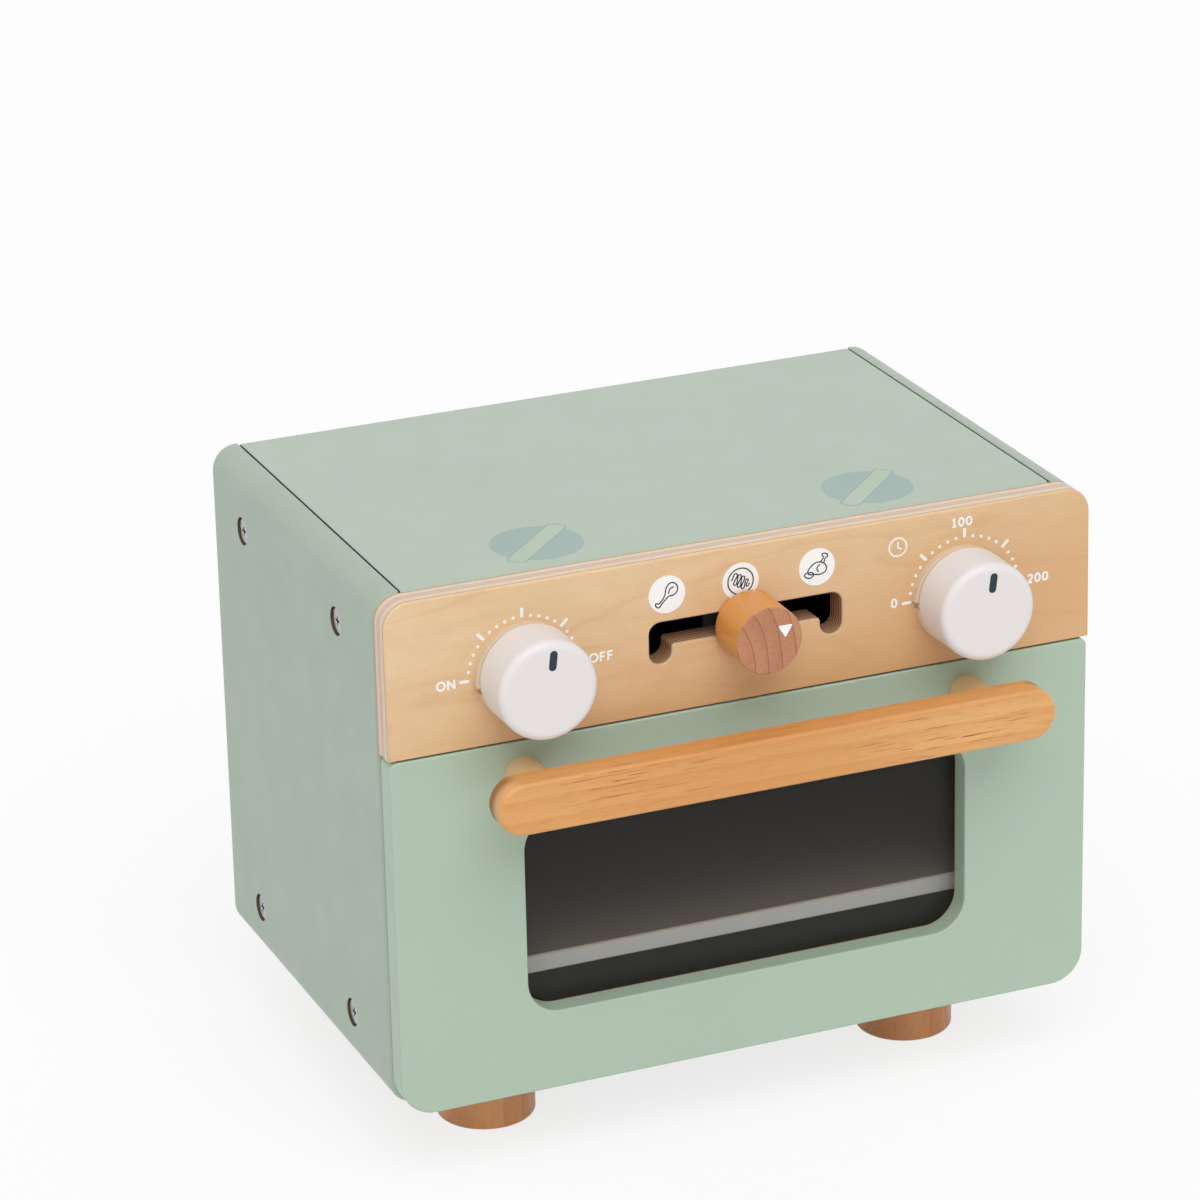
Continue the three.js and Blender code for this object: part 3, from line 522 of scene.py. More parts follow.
def paint(name, base, roughness=0.42, relief=0.12, wear_and_highlight=0.35, finish=False):
    """Sprayed satin paint: faint clouding, orange peel, and lighter arrises for edge wear together with a painted
    highlight.
    """
    base = tuple(base)
    made = Finish(name, roughness)
    cloud = made.ramp(made.noise(16, 3), (0.3, 0.0), (0.7, 1.0))
    ground = made.mix(cloud, scaled(base, 0.985), scaled(base, 1.012))
    # Lighter arrises: edge wear together with a painted highlight
    edge = made.times(made.wear_and_highlight(0.0006), wear_and_highlight)
    made.set("Base Color", made.mix(edge, ground, scaled(base, 1.16)))
    made.set("Roughness", made.ramp(made.noise(60, 4), (0.3, roughness - 0.05), (0.7, roughness + 0.06)))
    made.bump(made.noise(900, 2, 0.55), relief, 0.00008)
    return made if finish else made.material


def stretched(axis, across, along):
    """A pattern scale that is drawn out along one axis."""
    scale = [across, across, across]
    scale[AXES.index(axis)] = along
    return scale


def solid_wood(
    name, light, dark, axis, pith, spacing, warp=3.0, rings=0.6, late=0.6, fleck=None, fleck_share=0.5, fleck_long=40,
    fleck_thin=760, pore=0.24, pore_thin=1500, shades=(),
):
    """Lacquered solid wood with growth rings round a pith line and short flecks along the grain.

    Each of the shades is (axis, (place, share), (place, share), colour) and tints the wood between two places. A
    fifth entry, (start, full), lets it fade in along the grain.
    """
    light, dark = tuple(light), tuple(dark)
    roughness = 0.4
    made = Finish(name, roughness)
    slow = stretched(axis, 1.0, 0.05)
    grown = made.map(scale=slow, shift=[-middle * each for middle, each in zip(pith, slow)])
    band = made.rings(axis, 0.314 / spacing, warp, grown)
    shade = made.ramp(band, (0.0, 0.0), (late, rings * 0.25), (0.93, rings), (1.0, rings * 0.3))
    body = made.mix(shade, light, dark)
    cloud = made.ramp(made.noise(26, 3, 0.5, made.map(scale=stretched(axis, 1.0, 0.16))), (0.38, 0.0), (0.68, 0.5))
    body = made.mix(cloud, body, scaled(dark, 1.1))
    pores = made.ramp(made.streaks(stretched(axis, pore_thin, 130), 3, 0.6), (0.5, 0.0), (0.75, 1.0))
    body = made.mix(made.times(pores, pore), body, scaled(dark, 0.78))
    if fleck:
        streak = made.streaks(stretched(axis, fleck_thin, fleck_long), 2, 0.45)
        patch = made.ramp(made.noise(40, 1, 0.4, made.map(scale=stretched(axis, 1.0, 0.4))), (0.4, 0.0), (0.62, 1.0))
        streak = made.times(made.ramp(streak, (0.62, 0.0), (0.68, 1.0)), patch)
        body = made.mix(made.times(streak, fleck_share), body, tuple(fleck))
    level = [made.math("ABSOLUTE", part) for part in made.parts()]
    for along, first, last, shade, *fades in shades:
        share = made.ramp(level[AXES.index(along)], first, last)
        for start, full in fades:
            share = made.times(share, made.ramp(level[AXES.index(axis)], (start, 0.0), (full, 1.0)))
        body = made.mix(share, body, shade)
    # Lighter arrises: edge wear together with a painted highlight
    edge = made.times(made.wear_and_highlight(0.0007), 0.22)
    made.set("Base Color", made.mix(edge, body, scaled(light, 1.12)))
    made.set("Roughness", made.ramp(pores, (0.0, roughness - 0.04), (1.0, roughness + 0.12)))
    made.bump(pores, 0.18, 0.0001)
    made.set("Coat Weight", 0.12)
    made.set("Coat Roughness", 0.3)
    return made.material


def metal(name, base, roughness=0.3):
    """Zinc plated steel with fine turning marks."""
    made = Finish(name, roughness, 1.0)
    marks = made.noise(700, 3, 0.6)
    made.set("Base Color", made.mix(made.ramp(marks, (0.3, 0.0), (0.7, 1.0)), scaled(base, 0.86), scaled(base, 1.06)))
    made.set("Roughness", made.ramp(made.noise(240, 3), (0.3, roughness - 0.06), (0.7, roughness + 0.12)))
    made.bump(marks, 0.08, 0.00005)
    return made.material


def ink(name, base):
    """Screen print: opaque, a little uneven."""
    made = Finish(name, 0.5)
    cloud = made.ramp(made.noise(1500, 2), (0.3, 0.0), (0.7, 1.0))
    made.set("Base Color", made.mix(cloud, scaled(base, 0.97), scaled(base, 1.0)))
    return made.material


def moulded(name, base, roughness=0.5):
    """Moulded or sheet plastic with a fine grain."""
    made = Finish(name, roughness)
    grain = made.noise(2200, 2, 0.6)
    made.set("Base Color", made.mix(made.noise(80, 2), scaled(base, 0.93), scaled(base, 1.06)))
    made.set("Roughness", made.ramp(grain, (0.3, roughness - 0.06), (0.7, roughness + 0.08)))
    made.bump(grain, 0.1, 0.00005)
    return made.material


def raw_board_and_shade(name, base):
    """Cut fibre board, dull and fibrous."""
    made = Finish(name, 0.85)
    fibre = made.noise(1600, 4, 0.7)
    made.set("Base Color", made.mix(fibre, scaled(base, 0.75), scaled(base, 1.2)))
    made.bump(fibre, 0.4, 0.0001)
    return made.material


def plywood_face(name, light, dark):
    """Lacquered birch veneer: soft clouds, faint figure across the panel, short fine flecks, and painted shade
    towards the bottom and the right.
    """
    light, dark = tuple(light), tuple(dark)
    made = Finish(name, 0.4)
    cloud = made.streaks((11, 30, 26), 3, 0.5, (1.7, 0, 0.4))
    mottle = made.streaks((70, 90, 110), 2, 0.5)
    figure = made.streaks((26, 120, 240), 3, 0.55)
    hair = made.streaks((300, 900, 1700), 3, 0.6)
    x, _, z = made.parts()
    # Painted shade: the panel darkens towards the bottom and the right
    fall = made.math("ADD", made.times(x, 2.2), made.times(z, -11.0))
    vein = made.streaks((8, 30, 46), 2, 0.5, (0.3, 0, 0))
    warm = (dark[0] * 0.9, dark[1] * 0.72, dark[2] * 0.6)
    body = light
    for value, shade, *stops in (
        (made.math("ADD", fall, 2.72), dark, (0.12, 0.0), (0.8, 0.9)),
        (cloud, dark, (0.38, 0.0), (0.7, 0.3)),
        (vein, warm, (0.46, 0.0), (0.5, 0.2), (0.52, 0.0)),
        (mottle, scaled(dark, 0.95), (0.42, 0.0), (0.72, 0.2)),
        (figure, scaled(dark, 0.86), (0.5, 0.0), (0.74, 0.14)),
        (hair, scaled(dark, 0.78), (0.5, 0.0), (0.76, 0.2)),
    ):
        body = made.mix(made.ramp(value, *stops), body, shade)
    made.set("Base Color", body)
    made.set("Roughness", made.ramp(hair, (0.4, 0.38), (0.8, 0.5)))
    made.bump(hair, 0.12, 0.00008)
    made.set("Coat Weight", 0.1)
    made.set("Coat Roughness", 0.3)
    return made.material


def plywood_edge(name, front, thick, *layers):
    """Cut edge of the panel: its layers from the face back, each with the share of the thickness where it starts."""
    made = Finish(name, 0.5)
    wander = made.times(made.math("SUBTRACT", made.noise(45, 2), 0.5), 0.0007)
    depth = made.math("DIVIDE", made.math("ADD", made.math("SUBTRACT", made.parts()[1], front), wander), thick)
    body = made.ramp(depth, *layers, steps=True)
    fibre = made.streaks((140, 3200, 140), 3, 0.6)
    grain = made.noise(1500, 2, 0.6)
    body = made.mix(made.ramp(fibre, (0.45, 0.0), (0.75, 0.4)), body, scaled(layers[1][1], 0.78))
    body = made.mix(made.ramp(grain, (0.5, 0.0), (0.75, 0.25)), body, scaled(layers[1][1], 0.7))
    made.set("Base Color", body)
    made.bump(fibre, 0.25, 0.0001)
    return made.material


def pane_sheet(name):
    """Clear acrylic sheet, faintly smoked."""
    made = Finish(name, 0.05)
    made.set("Base Color", made.mix(made.noise(9, 2), (0.052, 0.05, 0.046), (0.07, 0.067, 0.062)))
    made.set("Alpha", 0.2)
    made.set("IOR", 1.49)
    return made.material


def hob_print(name, c):
    """Green paint with two printed hob discs, each crossed by an outlined bar with round corners."""
    disc_radius, cover, half_long, half_wide, rounding, outline = 0.01725, 0.95, 0.0178, 0.0013, 0.0028, 0.0007
    # The top's green is a greyer copy of the door green, a painted sheen
    made = paint(name, c.top_green_with_sheen, finish=True)
    body = made.shader.inputs["Base Color"].links[0].from_socket
    facing = made.math("GREATER_THAN", made.parts()[2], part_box("top_panel")[1].z - 0.0002)
    for across, depth in ((-0.0672, -0.0424), (0.0656, -0.0420)):
        spot = made.map(shift=(-across, -depth, 0))
        x, y, _ = made.parts(spot)
        reach = made.math("POWER", made.math("ADD", made.times(x, x), made.times(y, y)), 0.5)
        disc = made.times(made.math("LESS_THAN", reach, disc_radius), facing)
        body = made.mix(made.times(disc, cover), body, tuple(c.hob_blue))
        along, beside, _ = made.parts(made.map(turn=(0, 0, math.radians(-45)), source=spot))
        for trim, shade in ((0.0, c.hob_line), (outline, c.hob_green)):
            over = made.math("MAXIMUM", made.math("SUBTRACT", made.math("ABSOLUTE", along), half_long), 0.0)
            aside = made.math("MAXIMUM", made.math("SUBTRACT", made.math("ABSOLUTE", beside), half_wide), 0.0)
            square = made.math("ADD", made.times(over, over), made.times(aside, aside))
            inside = made.math("LESS_THAN", square, (rounding - trim) ** 2)
            body = made.mix(made.times(inside, facing), body, tuple(shade))
    made.set("Base Color", body)
    return made.material


# Filled by the first call of finishes()
FINISHES = {}


def finishes():
    """All finishes, made once from the user's colours."""
    if FINISHES:
        return FINISHES
    c = bpy.context.scene.toy_oven_colours
    low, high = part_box("fascia")
    bar, middle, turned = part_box("handle_bar")[1], centre_of("handle_bar"), centre_of("selector_knob")
    veneer, light, dark, rear = (tuple(each) for each in (c.plywood, c.ply_light, c.ply_dark, c.ply_rear))
    tan, brown, burnt = scaled(veneer, 0.8), tuple(c.cut_light), tuple(c.cut_dark)
    pith = (turned.x - 0.0338, 0, turned.z - 0.009)
    cut = [(0.0, tan), (0.1, burnt)] + [(0.16 + 0.07 * n, (brown, burnt)[n % 2]) for n in range(12)]
    grip = ("handle_wood", c.handle, c.handle_dark, "x", (0, middle.y + 0.03, middle.z - 0.03), 0.0055)
    grain = dict(
        rings=0.45, late=0.5, fleck=c.handle_fleck, fleck_share=0.95, fleck_long=48, fleck_thin=1600, pore=0.36,
        pore_thin=900,
    )
    # The bar is darker at its middle and along its upper arris, and its end grain is dark behind and pale in front
    tip = (bar.x - 0.0098, bar.x - 0.0055)
    shades = (
        ("x", (0.02, 0.5), (0.08, 0.0), tuple(c.handle_dark)),
        ("z", (bar.z - 0.0013, 0.0), (bar.z - 0.0002, 0.3), scaled(c.handle_dark, 0.9)),
        ("y", (-bar.y + 0.006, 0.85), (-bar.y + 0.0068, 0.0), scaled(c.handle_dark, 0.4), tip),
        ("y", (-bar.y + 0.0062, 0.0), (-bar.y + 0.0072, 0.35), tuple(c.post), tip),
    )
    FINISHES.update(
        green=paint("green_paint", c.green),
        # Darker copy of the door green for the sides, bottom and back: painted shade
        side_green=paint("side_green_paint", c.side_green),
        # Dark paint of the oven's inside, also painted shade in the seams beside the top board
        cavity=paint("cavity_paint", c.cavity, 0.5, 0.2, 0.1),
        # The shelf's front edge and top are lit and shaded copies of one paint: painted highlight and painted shade
        shelf=paint("lit_shelf_edge_paint", c.shelf, 0.36, 0.2, 0.3),
        shelf_top=paint("shelf_top_paint", c.shelf_top, 0.4, 0.2, 0.0),
        knob=paint("knob_paint", c.knob, 0.36, 0.06, 0.2),
        plywood=plywood_face("plywood_face", c.plywood, c.plywood_cloud_and_shade),
        layers=plywood_edge(
            "plywood_edge", low.y, high.y - low.y, (0.0, veneer), (0.1, rear), (0.15, light), (0.4, dark),
            (0.5, scaled(light, 0.96)), (0.55, dark), (0.64, light), (0.86, rear),
        ),
        cut=plywood_edge("plywood_cut", low.y, high.y - low.y, *cut),
        handle=solid_wood(*grip, shades=shades[:2], **grain),
        handle_end=solid_wood("handle_end_wood", *grip[1:], shades=shades, **grain),
        post=solid_wood(
            "post_wood", c.post, scaled(c.post, 0.85), "y", (0.02, 0, middle.z + 0.03), 0.003, rings=0.2, pore=0.08,
        ),
        batten=solid_wood("batten_wood", c.post, scaled(c.post, 0.8), "x", (0, 0.05, 0.15), 0.004),
        foot=solid_wood(
            "foot_wood", c.foot, c.foot_dark, "z", (0.4, 0.3, 0), 0.008, 5.0, 0.45, 0.5, scaled(c.foot_dark, 0.7),
            0.35, 160,
        ),
        selector=solid_wood(
            "selector_wood", c.selector, scaled(c.selector, 0.74), "y", pith, 0.0057, 1.2, 0.5, 0.75,
            scaled(c.selector, 0.5), 0.6, 150, 1100,
        ),
        selector_end=solid_wood(
            "selector_end_grain", c.selector_end, c.selector_ring, "y", pith, 0.0057, 2.0, 0.95, 0.87, pore=0.5,
        ),
        ring=moulded("ring_beige", c.ring, 0.5),
        arris=moulded("shelf_arris", c.ply_light, 0.6),
        plate=moulded("slide_plate", c.plate, 0.5),
        steel=metal("zinc_steel", c.steel),
        # Cut fibre board of the screw recesses, darkened as painted shade
        raw=raw_board_and_shade("raw_board_and_shade", c.raw_board_and_shade),
        white=ink("white_ink", c.white_ink),
        navy=ink("navy_ink", c.navy_ink),
        pane=pane_sheet("clear_pane"),
    )
    return FINISHES


def recoat(material, *nodes):
    """Keeps a solid of the frame and gives it its finish."""
    for node in nodes:
        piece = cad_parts[node]
        piece.data.materials.clear()
        piece.data.materials.append(material)


def screw_heads(name, body, face, centre, spots, sides, radius, bite, rise, slot):
    """Small screws on a face that looks back: one head at a centre, copied to each spot, as (its name, its shift).

    The head goes from the bite below the face to the rise above it, and the slot is (reach, half width, depth).
    """
    top, rim = face + rise, 0.0003
    head = rod("head", radius, face - bite, top, "y", centre, sides)
    soften(head, "y", top, rim, 3)
    cross_cut(head, "y", top, centre, *slot)
    for spot, shift in spots:
        dress(twin(head, f"{name}_{spot}", shift), body, finishes()["steel"])
    drop(head)


# Prints


def flat_disc(name, radius, across, up, front, thick, sides):
    """A round print that faces the front."""
    return rod(name, radius, front - thick, front + thick, "y", (across, 0, up), sides)


def line(points, width, front, thick, kind):
    """A drawn curve, loop or straight line that faces the front: its points across and up."""
    rest()
    bpy.ops.curve.primitive_bezier_curve_add()
    drawn = bpy.context.object
    spline = drawn.data.splines[0]
    spline.bezier_points.add(len(points) - len(spline.bezier_points))
    for knot, (across, up) in zip(spline.bezier_points, points):
        knot.co = (across, 0, up)
        knot.handle_left_type = knot.handle_right_type = "VECTOR" if kind == "straight" else "AUTO"
    spline.use_cyclic_u = kind == "loop"
    spline.resolution_u = 1 if kind == "straight" else 8
    drawn.data.bevel_depth = width / 2
    drawn.data.bevel_resolution = 2
    drawn.data.use_fill_caps = kind != "loop"
    bpy.ops.object.convert(target="MESH")
    drawn = bpy.context.object
    bpy.ops.transform.resize(value=(1, thick / width * 2, 1), center_override=(0, 0, 0))
    drawn.location.y += front
    return settle("line")


def round_points(across, up, wide, tall):
    """Eight points round an ellipse of a given half width and half height."""
    turns = [math.radians(45 * step) for step in range(8)]
    return [(across + wide * math.cos(a), up + tall * math.sin(a)) for a in turns]


# Each sign's width, and its strokes on a height of 1
LETTERS = {
    "O": (0.98, (("loop", round_points(0.49, 0.5, 0.49, 0.5)),)),
    "N": (0.8, (
        ("straight", [(0, -0.1), (0, 1.1)]), ("straight", [(0, 1), (0.8, 0)]),
        ("straight", [(0.8, -0.1), (0.8, 1.1)]),
    )),
    "F": (0.56, (
        ("straight", [(0, -0.1), (0, 1.1)]), ("straight", [(0, 1), (0.6, 1)]), ("straight", [(0, 0.5), (0.54, 0.5)]),
    )),
    "0": (0.64, (("loop", round_points(0.32, 0.5, 0.32, 0.5)),)),
    "1": (0.46, (
        ("straight", [(0, 0.8), (0.24, 1)]), ("straight", [(0.24, 1.1), (0.24, 0)]),
        ("straight", [(-0.05, 0), (0.51, 0)]),
    )),
    "2": (0.58, (
        ("curve", [(0, 0.82), (0.14, 0.97), (0.34, 0.99), (0.54, 0.84), (0.52, 0.6), (0.3, 0.3), (0, 0)]),
        ("straight", [(0, 0), (0.58, 0)]),
    )),
}


def letters(words, across, up, front, tall, thick):
    """Rounded capitals or figures of drawn lines, set to a height and centred on a place."""
    stroke, gap = tall * 0.2, 0.4
    unit = tall - stroke
    whole = sum(LETTERS[each][0] for each in words) + gap * (len(words) - 1)
    start = across - whole * unit / 2
    parts = []
    for each in words:
        wide, strokes = LETTERS[each]
        for kind, points in strokes:
            placed = [(start + x * unit, up + (z - 0.5) * unit) for x, z in points]
            parts.append(line(placed, stroke, front, thick, kind))
        start += (wide + gap) * unit
    return parts


# Operators


class OvenOperator(bpy.types.Operator):
    """Shared ground of the steps that make one group of pieces."""

    bl_options = {"REGISTER", "UNDO"}

    @property
    def sizes(self):
        """The user's sizes."""
        return bpy.context.scene.toy_oven_sizes


class TOYOVEN_OT_stage(OvenOperator):
    """Floor, even light, lamps and camera"""

    bl_idname = "toy_oven.stage"
    bl_label = "Stage"

    def execute(self, context):
        stage = context.scene.toy_oven_stage
        self.lay_floor(2 * stage.floor_half)
        self.light_sky(context, stage.sky)
        lamps = (("key", stage.key, 50, (0.12, 0.62, -0.95)), ("fill", stage.fill, 90, (0.8, 0.5, -0.4)))
        for name, strength, spread, toward in lamps:
            bpy.ops.object.light_add(type="SUN", location=(0, 0, 2))
            lamp = context.object
            lamp.name = name
            lamp.data.energy = strength
            lamp.data.angle = math.radians(spread)
            lamp.rotation_euler = Vector(toward).to_track_quat("-Z", "Y").to_euler()
        self.place_camera(context, stage)
        context.scene.view_settings.view_transform = "Standard"
        return {"FINISHED"}

    @staticmethod
    def seen(tree):
        """1 for what the camera sees, also through glass or in a reflection, and 0 for light on things."""
        path = tree.nodes.new("ShaderNodeLightPath")
        share = path.outputs["Is Camera Ray"]
        for name in ("Is Glossy Ray", "Is Transmission Ray"):
            larger = tree.nodes.new("ShaderNodeMath")
            larger.operation = "MAXIMUM"
            tree.links.new(share, larger.inputs[0])
            tree.links.new(path.outputs[name], larger.inputs[1])
            share = larger.outputs[0]
        return share

    @staticmethod
    def blend(tree, share, first, second, output):
        """Shows the second shader for a share of what the output gets, and the first for the rest."""
        both = tree.nodes.new("ShaderNodeMixShader")
        for source, socket in zip((share, first, second), both.inputs):
            tree.links.new(source, socket)
        tree.links.new(both.outputs[0], tree.nodes[output].inputs[0])

    def lay_floor(self, side):
        """A pale floor that glows a little where it is seen, so that it meets the white background."""
        glow_share = 0.78
        rest()
        bpy.ops.mesh.primitive_plane_add(size=side)
        floor = settle("floor")
        made = Finish("floor_white", 0.9)
        made.set("Base Color", made.mix(made.noise(3), (0.93, 0.93, 0.93), (0.95, 0.95, 0.95)))
        made.set("Specular IOR Level", 0.1)
        glow = made.tree.nodes.new("ShaderNodeEmission")
        glow.inputs["Color"].default_value = (1, 1, 1, 1)
        share = made.times(self.seen(made.tree), glow_share)
        self.blend(made.tree, share, made.shader.outputs[0], glow.outputs[0], "Material Output")
        floor.data.materials.append(made.material)

    def light_sky(self, context, strength):
        """Even light from all round, with a white background where it is seen."""
        world = bpy.data.worlds.new("studio")
        context.scene.world = world
        world.use_nodes = True
        tree = world.node_tree
        even, white = tree.nodes["Background"], tree.nodes.new("ShaderNodeBackground")
        for sky, level in ((even, strength), (white, 1)):
            sky.inputs[0].default_value = (1, 1, 1, 1)
            sky.inputs[1].default_value = level
        self.blend(tree, self.seen(tree), even.outputs[0], white.outputs[0], "World Output")

    @staticmethod
    def place_camera(context, stage):
        """The camera, with its azimuth, elevation and roll in degrees."""
        bpy.ops.object.camera_add(location=(-0.70484, -1.65020, 0.88352))
        camera = context.object
        camera.name = "camera"
        azimuth, elevation, roll = (math.radians(angle) for angle in (-22.165, 21.282, -1.392))
        back = Vector((
            math.sin(azimuth) * math.cos(elevation), -math.cos(azimuth) * math.cos(elevation), math.sin(elevation),
        ))
        right = Vector((0, 0, 1)).cross(back).normalized()
        up = back.cross(right)
        across = math.cos(roll) * right + math.sin(roll) * up
        above = math.cos(roll) * up - math.sin(roll) * right
        camera.rotation_euler = Matrix((across, above, back)).transposed().to_euler()
        camera.data.lens = stage.lens * 1000
        camera.data.shift_x = stage.shift_x
        camera.data.shift_y = stage.shift_y
        camera.data.clip_end = 50
        context.scene.camera = camera


class TOYOVEN_OT_carcass(OvenOperator):
    """Side, top, bottom and back boards"""

    bl_idname = "toy_oven.carcass"
    bl_label = "Carcass"

    def execute(self, context):
        s, made = self.sizes, finishes()
        back_low, back_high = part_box("back_panel")
        roof_low, roof_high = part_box("top_panel")
        floor_low, floor_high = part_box("bottom_panel")
        wall_low, wall_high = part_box("side_panel_right")
        inner, outer = wall_low.x, wall_high.x

        def rebate():
            low = (-inner - s.back_lap, back_low.y, floor_high.z - s.back_lap)
            high = (inner + s.back_lap, wall_high.y + OVERRUN, roof_low.z + s.back_lap)
            return block("rebate", low, high)

        for side, sign in SIDES:
            node = f"side_panel_{side}"
            low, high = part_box(node)
            rounds = (s.corner, 0, 0, s.corner) if sign < 0 else (0, s.corner, s.corner, 0)
            wall = board("wall", node, *rounds, steps=12)
            soften(wall, "y", low.y, s.front_edge, 6)
            soften(wall, "y", high.y, s.edge, 3)
            ends = sorted((sign * (outer - s.recess_depth), sign * (outer + OVERRUN)))
            screws = [centre_of(f"side_screw_{side}_{place}_{row}") for place in LEVELS for row in ROWS]
            for screw in screws:
                combine(wall, rod("recess", s.recess, *ends, "x", screw, 48))
            combine(wall, rebate())
            soften(wall, "z", high.z, s.seam_edge, 4, lambda point: abs(point.x - sign * inner) < NEAR)
            clad(
                wall, f"side_board_{side}", "casing", "green_paint", node, made["side_green"],
                # Recess walls: cut fibre board, darkened as painted shade
                (made["raw"], lambda f: self.in_recess(f, screws, outer, s)),
                # The inner face takes the dark inside paint, which also stands as painted shade in the seam beside
                # the top
                (made["cavity"], lambda f: abs(f.calc_center_median().x - sign * inner) < NEAR),
            )

        hard, soft = (s.edge, s.edge), (s.soft_edge, s.soft_edge)
        outline = rectangle(roof_low.y, roof_low.z, roof_high.y, roof_high.z, *hard, *soft)
        ends = (roof_low.x + s.seam, roof_high.x - s.seam)
        roof = combine(plate("roof", outline, "x", *ends, 6), rebate())
        lower_rim = roof_low.z + 0.002
        for level in ends:
            soften(roof, "x", level, s.seam_edge, 4, lambda point: point.z > lower_rim)
        green = hob_print("hob_paint", context.scene.toy_oven_colours)
        # The top's underside takes the dark inside paint; its two ends take it as painted shade in the seams
        bare = (made["cavity"], lambda f: f.normal.z < -FACING or abs(f.normal.x) > FACING)
        clad(roof, "top_board", "casing", "green_paint", "top_panel", green, bare)

        outline = rectangle(floor_low.y, floor_low.z, floor_high.y, floor_high.z, *soft, *hard)
        base = combine(plate("base", outline, "x", floor_low.x, floor_high.x, 6), rebate())
        spare = Vector((0.0001, 0.0001, 0.0002))
        for side, _ in SIDES:
            low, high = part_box(f"hinge_body_leaf_{side}")
            low.z = floor_low.z - OVERRUN
            combine(base, block("mortise", low - spare, high + spare))
        bare = (made["cavity"], lambda f: f.normal.z > FACING)
        clad(base, "bottom_board", "casing", "green_paint", "bottom_panel", made["side_green"], bare)

        rear = board("rear", "back_panel", s.edge, steps=4)
        soften(rear, "y", back_high.y, s.edge / 2, 2)
        bare = (made["cavity"], lambda f: f.normal.y < -FACING)
        clad(rear, "back_board", "casing", "green_paint", "back_panel", made["side_green"], bare)
        return {"FINISHED"}

    @staticmethod
    def in_recess(face, screws, outer, s):
        """Whether a face is in one of the screw recesses."""
        spot = face.calc_center_median()
        if abs(outer - abs(spot.x)) < s.edge * 0.2 or abs(spot.x) < outer - s.recess_depth - NEAR:
            return False
        return any(math.hypot(spot.y - screw.y, spot.z - screw.z) < s.recess + NEAR for screw in screws)


class TOYOVEN_OT_inside(OvenOperator):
    """Divider, battens, runners and shelf"""

    bl_idname = "toy_oven.inside"
    bl_label = "Inside"

    def execute(self, context):
        made = finishes()
        recoat(made["cavity"], "divider_panel", "batten_bottom_front", "batten_bottom_rear")
        recoat(made["cavity"], "shelf_runner_left", "shelf_runner_right")
        recoat(made["batten"], "batten_top_front", "batten_top_rear")
        low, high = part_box("shelf")
        edge = 0.0007
        shelf = plate("shelf_board", rectangle(low.y, low.z, high.y, high.z, edge), "x", low.x, high.x, 3)
        # Front edge and top get lit and shaded copies of the shelf's paint: painted highlight and painted shade
        clad(
            shelf, "shelf_board", "casing", "silver_paint", "shelf", made["shelf"],
            (made["shelf_top"], lambda f: f.normal.z > FACING),
            (made["arris"], lambda f: f.normal.y < -0.2 and f.normal.z > 0.2),
        )
        return {"FINISHED"}


class TOYOVEN_OT_side_screws(OvenOperator):
    """Cross-head screws sunk in the sides, and the screws of the feet"""

    bl_idname = "toy_oven.side_screws"
    bl_label = "Side and foot screws"

    def execute(self, context):
        made = finishes()
        low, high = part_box("side_screw_right_top_front")
        centre = (low + high) / 2
        radius, shank, rim = (high.z - low.z) / 2, 0.0025, 0.0005
        head = high.x - 0.0024
        slot_long, slot_wide, slot_deep = 0.0019, 0.0005, 0.0013
        model = rod("screw", radius, head, high.x, "x", centre, 40)
        soften(model, "x", high.x, rim, 4)
        pick("FACE", lambda f: abs(f.calc_center_median().x - head) < NEAR)
        bpy.ops.mesh.inset(thickness=radius - shank)
        bpy.ops.mesh.extrude_region_move(TRANSFORM_OT_translate={"value": (low.x - head, 0, 0)})
        cross_cut(model, "x", high.x, centre, slot_long, slot_wide, slot_deep)
        for side, sign in SIDES:
            turn = 0.0 if sign > 0 else math.pi
            for place in LEVELS:
                for row in ROWS:
                    node = f"side_screw_{side}_{place}_{row}"
                    screw = twin(model, f"screw_{side}_{place}_{row}", centre_of(node) - centre, turn, "Z", centre)
                    dress(screw, "casing", made["steel"], [node])
        drop(model)
        for side, _ in SIDES:
            recoat(made["steel"], *(f"foot_screw_{side}_{row}" for row in ROWS))
        return {"FINISHED"}


class TOYOVEN_OT_feet(OvenOperator):
    """Turned wooden feet"""

    bl_idname = "toy_oven.feet"
    bl_label = "Feet"

    def execute(self, context):
        made = finishes()
        low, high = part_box("foot_left_front")
        centre = (low + high) / 2
        lower_rim, upper_rim, bore_rim = 0.0015, 0.0008, 0.0004
        bore, bore_deep, margin = 0.0068, 0.01, 0.0005
        foot = rod("foot", (high.x - low.x) / 2, low.z, high.z, "z", centre, 96)
        soften(foot, "z", low.z, lower_rim, 5)
        soften(foot, "z", high.z, upper_rim, 3)
        combine(foot, rod("bore", bore, low.z - OVERRUN, low.z + bore_deep, "z", centre, 48))
        soften(foot, "z", low.z, bore_rim, 2, lambda p: math.hypot(p.x - centre.x, p.y - centre.y) < bore + margin)
        for side, _ in SIDES:
            for row in ROWS:
                node = f"foot_{side}_{row}"
                turned = twin(foot, f"turned_{node}", centre_of(node) - centre)
                dress(turned, "casing", made["foot"], [node])
        drop(foot)
        return {"FINISHED"}


